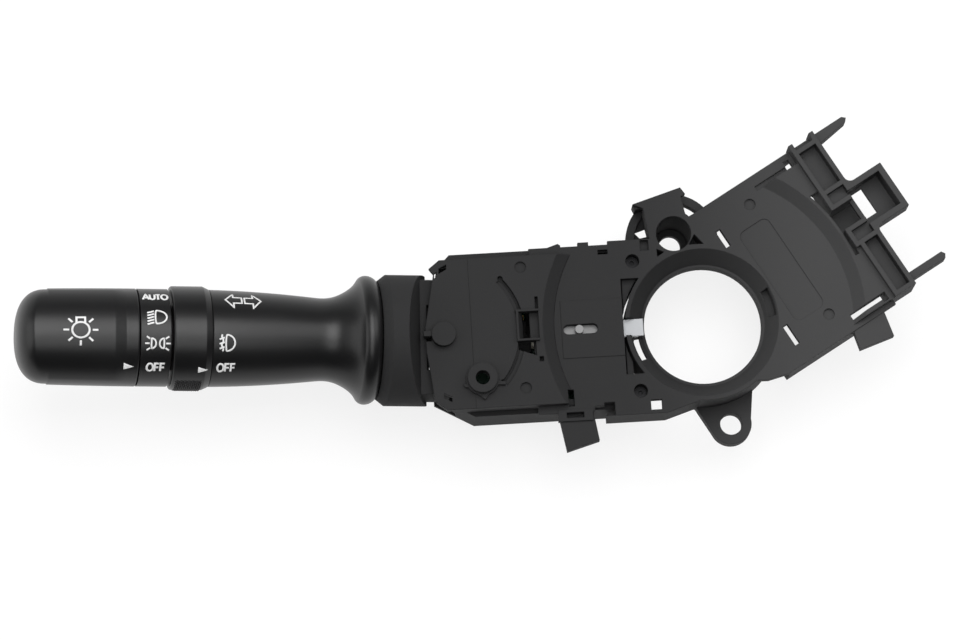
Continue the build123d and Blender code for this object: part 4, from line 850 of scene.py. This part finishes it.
def floor_finish(stage):
    """Pale floor whose colour and glow are painted darker far off as painted shade, and whose shadows are
    lightened with plain white where they are seen.
    """
    material, tree, shader = new_material("floor")
    middle = 0.5 * (CAD_BOX[0][0] + CAD_BOX[1][0])
    scaled = add_node(tree, "Mapping", {"Vector": object_place(tree),
                                        "Scale": (1.0 / stage.pale_wide, 1.0, 0.0),
                                        "Location": (-middle / stage.pale_wide, 0.0, 0.0)})
    away = add_node(tree, "VectorMath", {0: scaled.outputs["Vector"]}, operation="LENGTH").outputs["Value"]
    # Painted shade: the floor's colour and its glow both fall from pale to floor_edge far from the object
    pale, white = [eased(tree, away, stage.pale_from, stage.pale_to, level, stage.floor_edge)
                   for level in (stage.floor_white, 1.0)]
    set_inputs(tree, shader, {"Base Color": pale, "Roughness": FLOOR_ROUGH, "Specular IOR Level": 0.0})
    glow = add_node(tree, "Emission", {"Color": white})
    path = add_node(tree, "LightPath", {}).outputs
    seen = path["Is Camera Ray"]
    for kind in ("Is Glossy Ray", "Is Transmission Ray"):
        seen = add_node(tree, "Math", {0: seen, 1: path[kind]}, operation="MAXIMUM").outputs["Value"]
    share = add_node(tree, "Math", {0: seen, 1: stage.floor_glow}, operation="MULTIPLY").outputs["Value"]
    mix = add_node(tree, "MixShader", {0: share, 1: shader.outputs["BSDF"], 2: glow.outputs["Emission"]})
    set_inputs(tree, tree.nodes["Material Output"], {"Surface": mix.outputs["Shader"]})
    return material


def make_floor(stage):
    """Plain floor just under the object."""
    half = stage.floor_half
    low = CAD_BOX[0][2] - stage.floor_gap
    corners = [(-half, -half, low), (half, -half, low), (half, half, low), (-half, half, low)]
    mesh = bpy.data.meshes.new("floor")
    mesh.from_pydata(corners, [], [(0, 1, 2, 3)])
    mesh.materials.append(floor_finish(stage))
    floor = bpy.data.objects.new("floor", mesh)
    bpy.context.scene.collection.objects.link(floor)


def soft_box(name, power, side, place, aim):
    """Square area lamp at a place, aimed at a point."""
    data = bpy.data.lights.new(name, "AREA")
    data.energy = power
    data.size = side
    back = np.array(place) - np.array(aim)
    back /= np.linalg.norm(back)
    right = np.cross((0.0, 1.0, 0.0), back)
    right /= np.linalg.norm(right)
    put(bpy.data.objects.new(name, data), right, np.cross(back, right), back, place)


def make_world():
    """Studio surround: softly lit overhead, dimmer below that, pale at the horizon and dark on one side."""
    world = bpy.data.worlds.new("surround")
    bpy.context.scene.world = world
    world.use_nodes = True
    tree = world.node_tree
    view = add_node(tree, "TexCoord", {}).outputs["Generated"]
    split = add_node(tree, "SeparateXYZ", {"Vector": view}).outputs
    ramp = add_node(tree, "ValToRGB", {"Fac": split["Z"]})
    stops = ramp.color_ramp.elements
    for height, _ in SKY_LEVELS[1:-1]:
        stops.new(height)
    for stop, (_, level) in zip(stops, SKY_LEVELS):
        stop.color = (level, level, level, 1.0)
    side = add_node(tree, "MapRange", {"Value": split["Y"], **DARK_SIDE})
    set_inputs(tree, tree.nodes["Background"], {"Color": ramp.outputs["Color"],
                                                "Strength": side.outputs["Result"]})


class STALK_OT_stage(bpy.types.Operator):
    """Set the floor, the soft light and the camera"""
    bl_idname = "stalk.stage"
    bl_label = "Stage"

    def execute(self, context):
        stage = context.scene.stalk_stage
        middle = [0.5 * (low + high) for low, high in zip(*CAD_BOX)]
        make_floor(stage)
        for name, power, offset in (("key_light", stage.key_power, stage.key_back),
                                    ("low_light", stage.low_power, -stage.key_back)):
            soft_box(name, power, stage.key_size, (middle[0], middle[1] + offset, stage.key_height), middle)
        soft_box("fill_light", stage.fill_power, stage.fill_size, stage.fill_place, stage.fill_aim)
        soft_box("end_light", stage.end_power, stage.end_size, stage.end_place, PIVOT + KNOB_END * OUT)
        make_world()
        make_camera(stage)
        context.scene.view_settings.view_transform = "Standard"
        return {"FINISHED"}


class STALK_PT_panel(bpy.types.Panel):
    """Buttons for each group of pieces"""
    bl_label = "Stalk switch"
    bl_idname = "STALK_PT_panel"
    bl_space_type = "VIEW_3D"
    bl_region_type = "UI"
    bl_category = "Stalk switch"

    def draw(self, context):
        for operator in OPERATORS:
            self.layout.operator(operator.bl_idname)


OPERATORS = [STALK_OT_stage, STALK_OT_finishes, STALK_OT_knob, STALK_OT_stalk, STALK_OT_fog_ring,
             STALK_OT_print]
CLASSES = [StalkSizes, StalkColours, StalkStage, *OPERATORS, STALK_PT_panel]


def register():
    """Add the classes and the scene's settings."""
    for item in CLASSES:
        bpy.utils.register_class(item)
    bpy.types.Scene.stalk_sizes = PointerProperty(type=StalkSizes)
    bpy.types.Scene.stalk_colours = PointerProperty(type=StalkColours)
    bpy.types.Scene.stalk_stage = PointerProperty(type=StalkStage)


def unregister():
    """Take them away again."""
    del bpy.types.Scene.stalk_stage, bpy.types.Scene.stalk_colours, bpy.types.Scene.stalk_sizes
    for item in reversed(CLASSES):
        bpy.utils.unregister_class(item)


def main():
    """Register and build every group in order."""
    register()
    bpy.ops.stalk.stage()
    bpy.ops.stalk.finishes()
    bpy.ops.stalk.knob()
    bpy.ops.stalk.stalk()
    bpy.ops.stalk.fog_ring()
    bpy.ops.stalk.print()


if __name__ == "__main__":
    main()
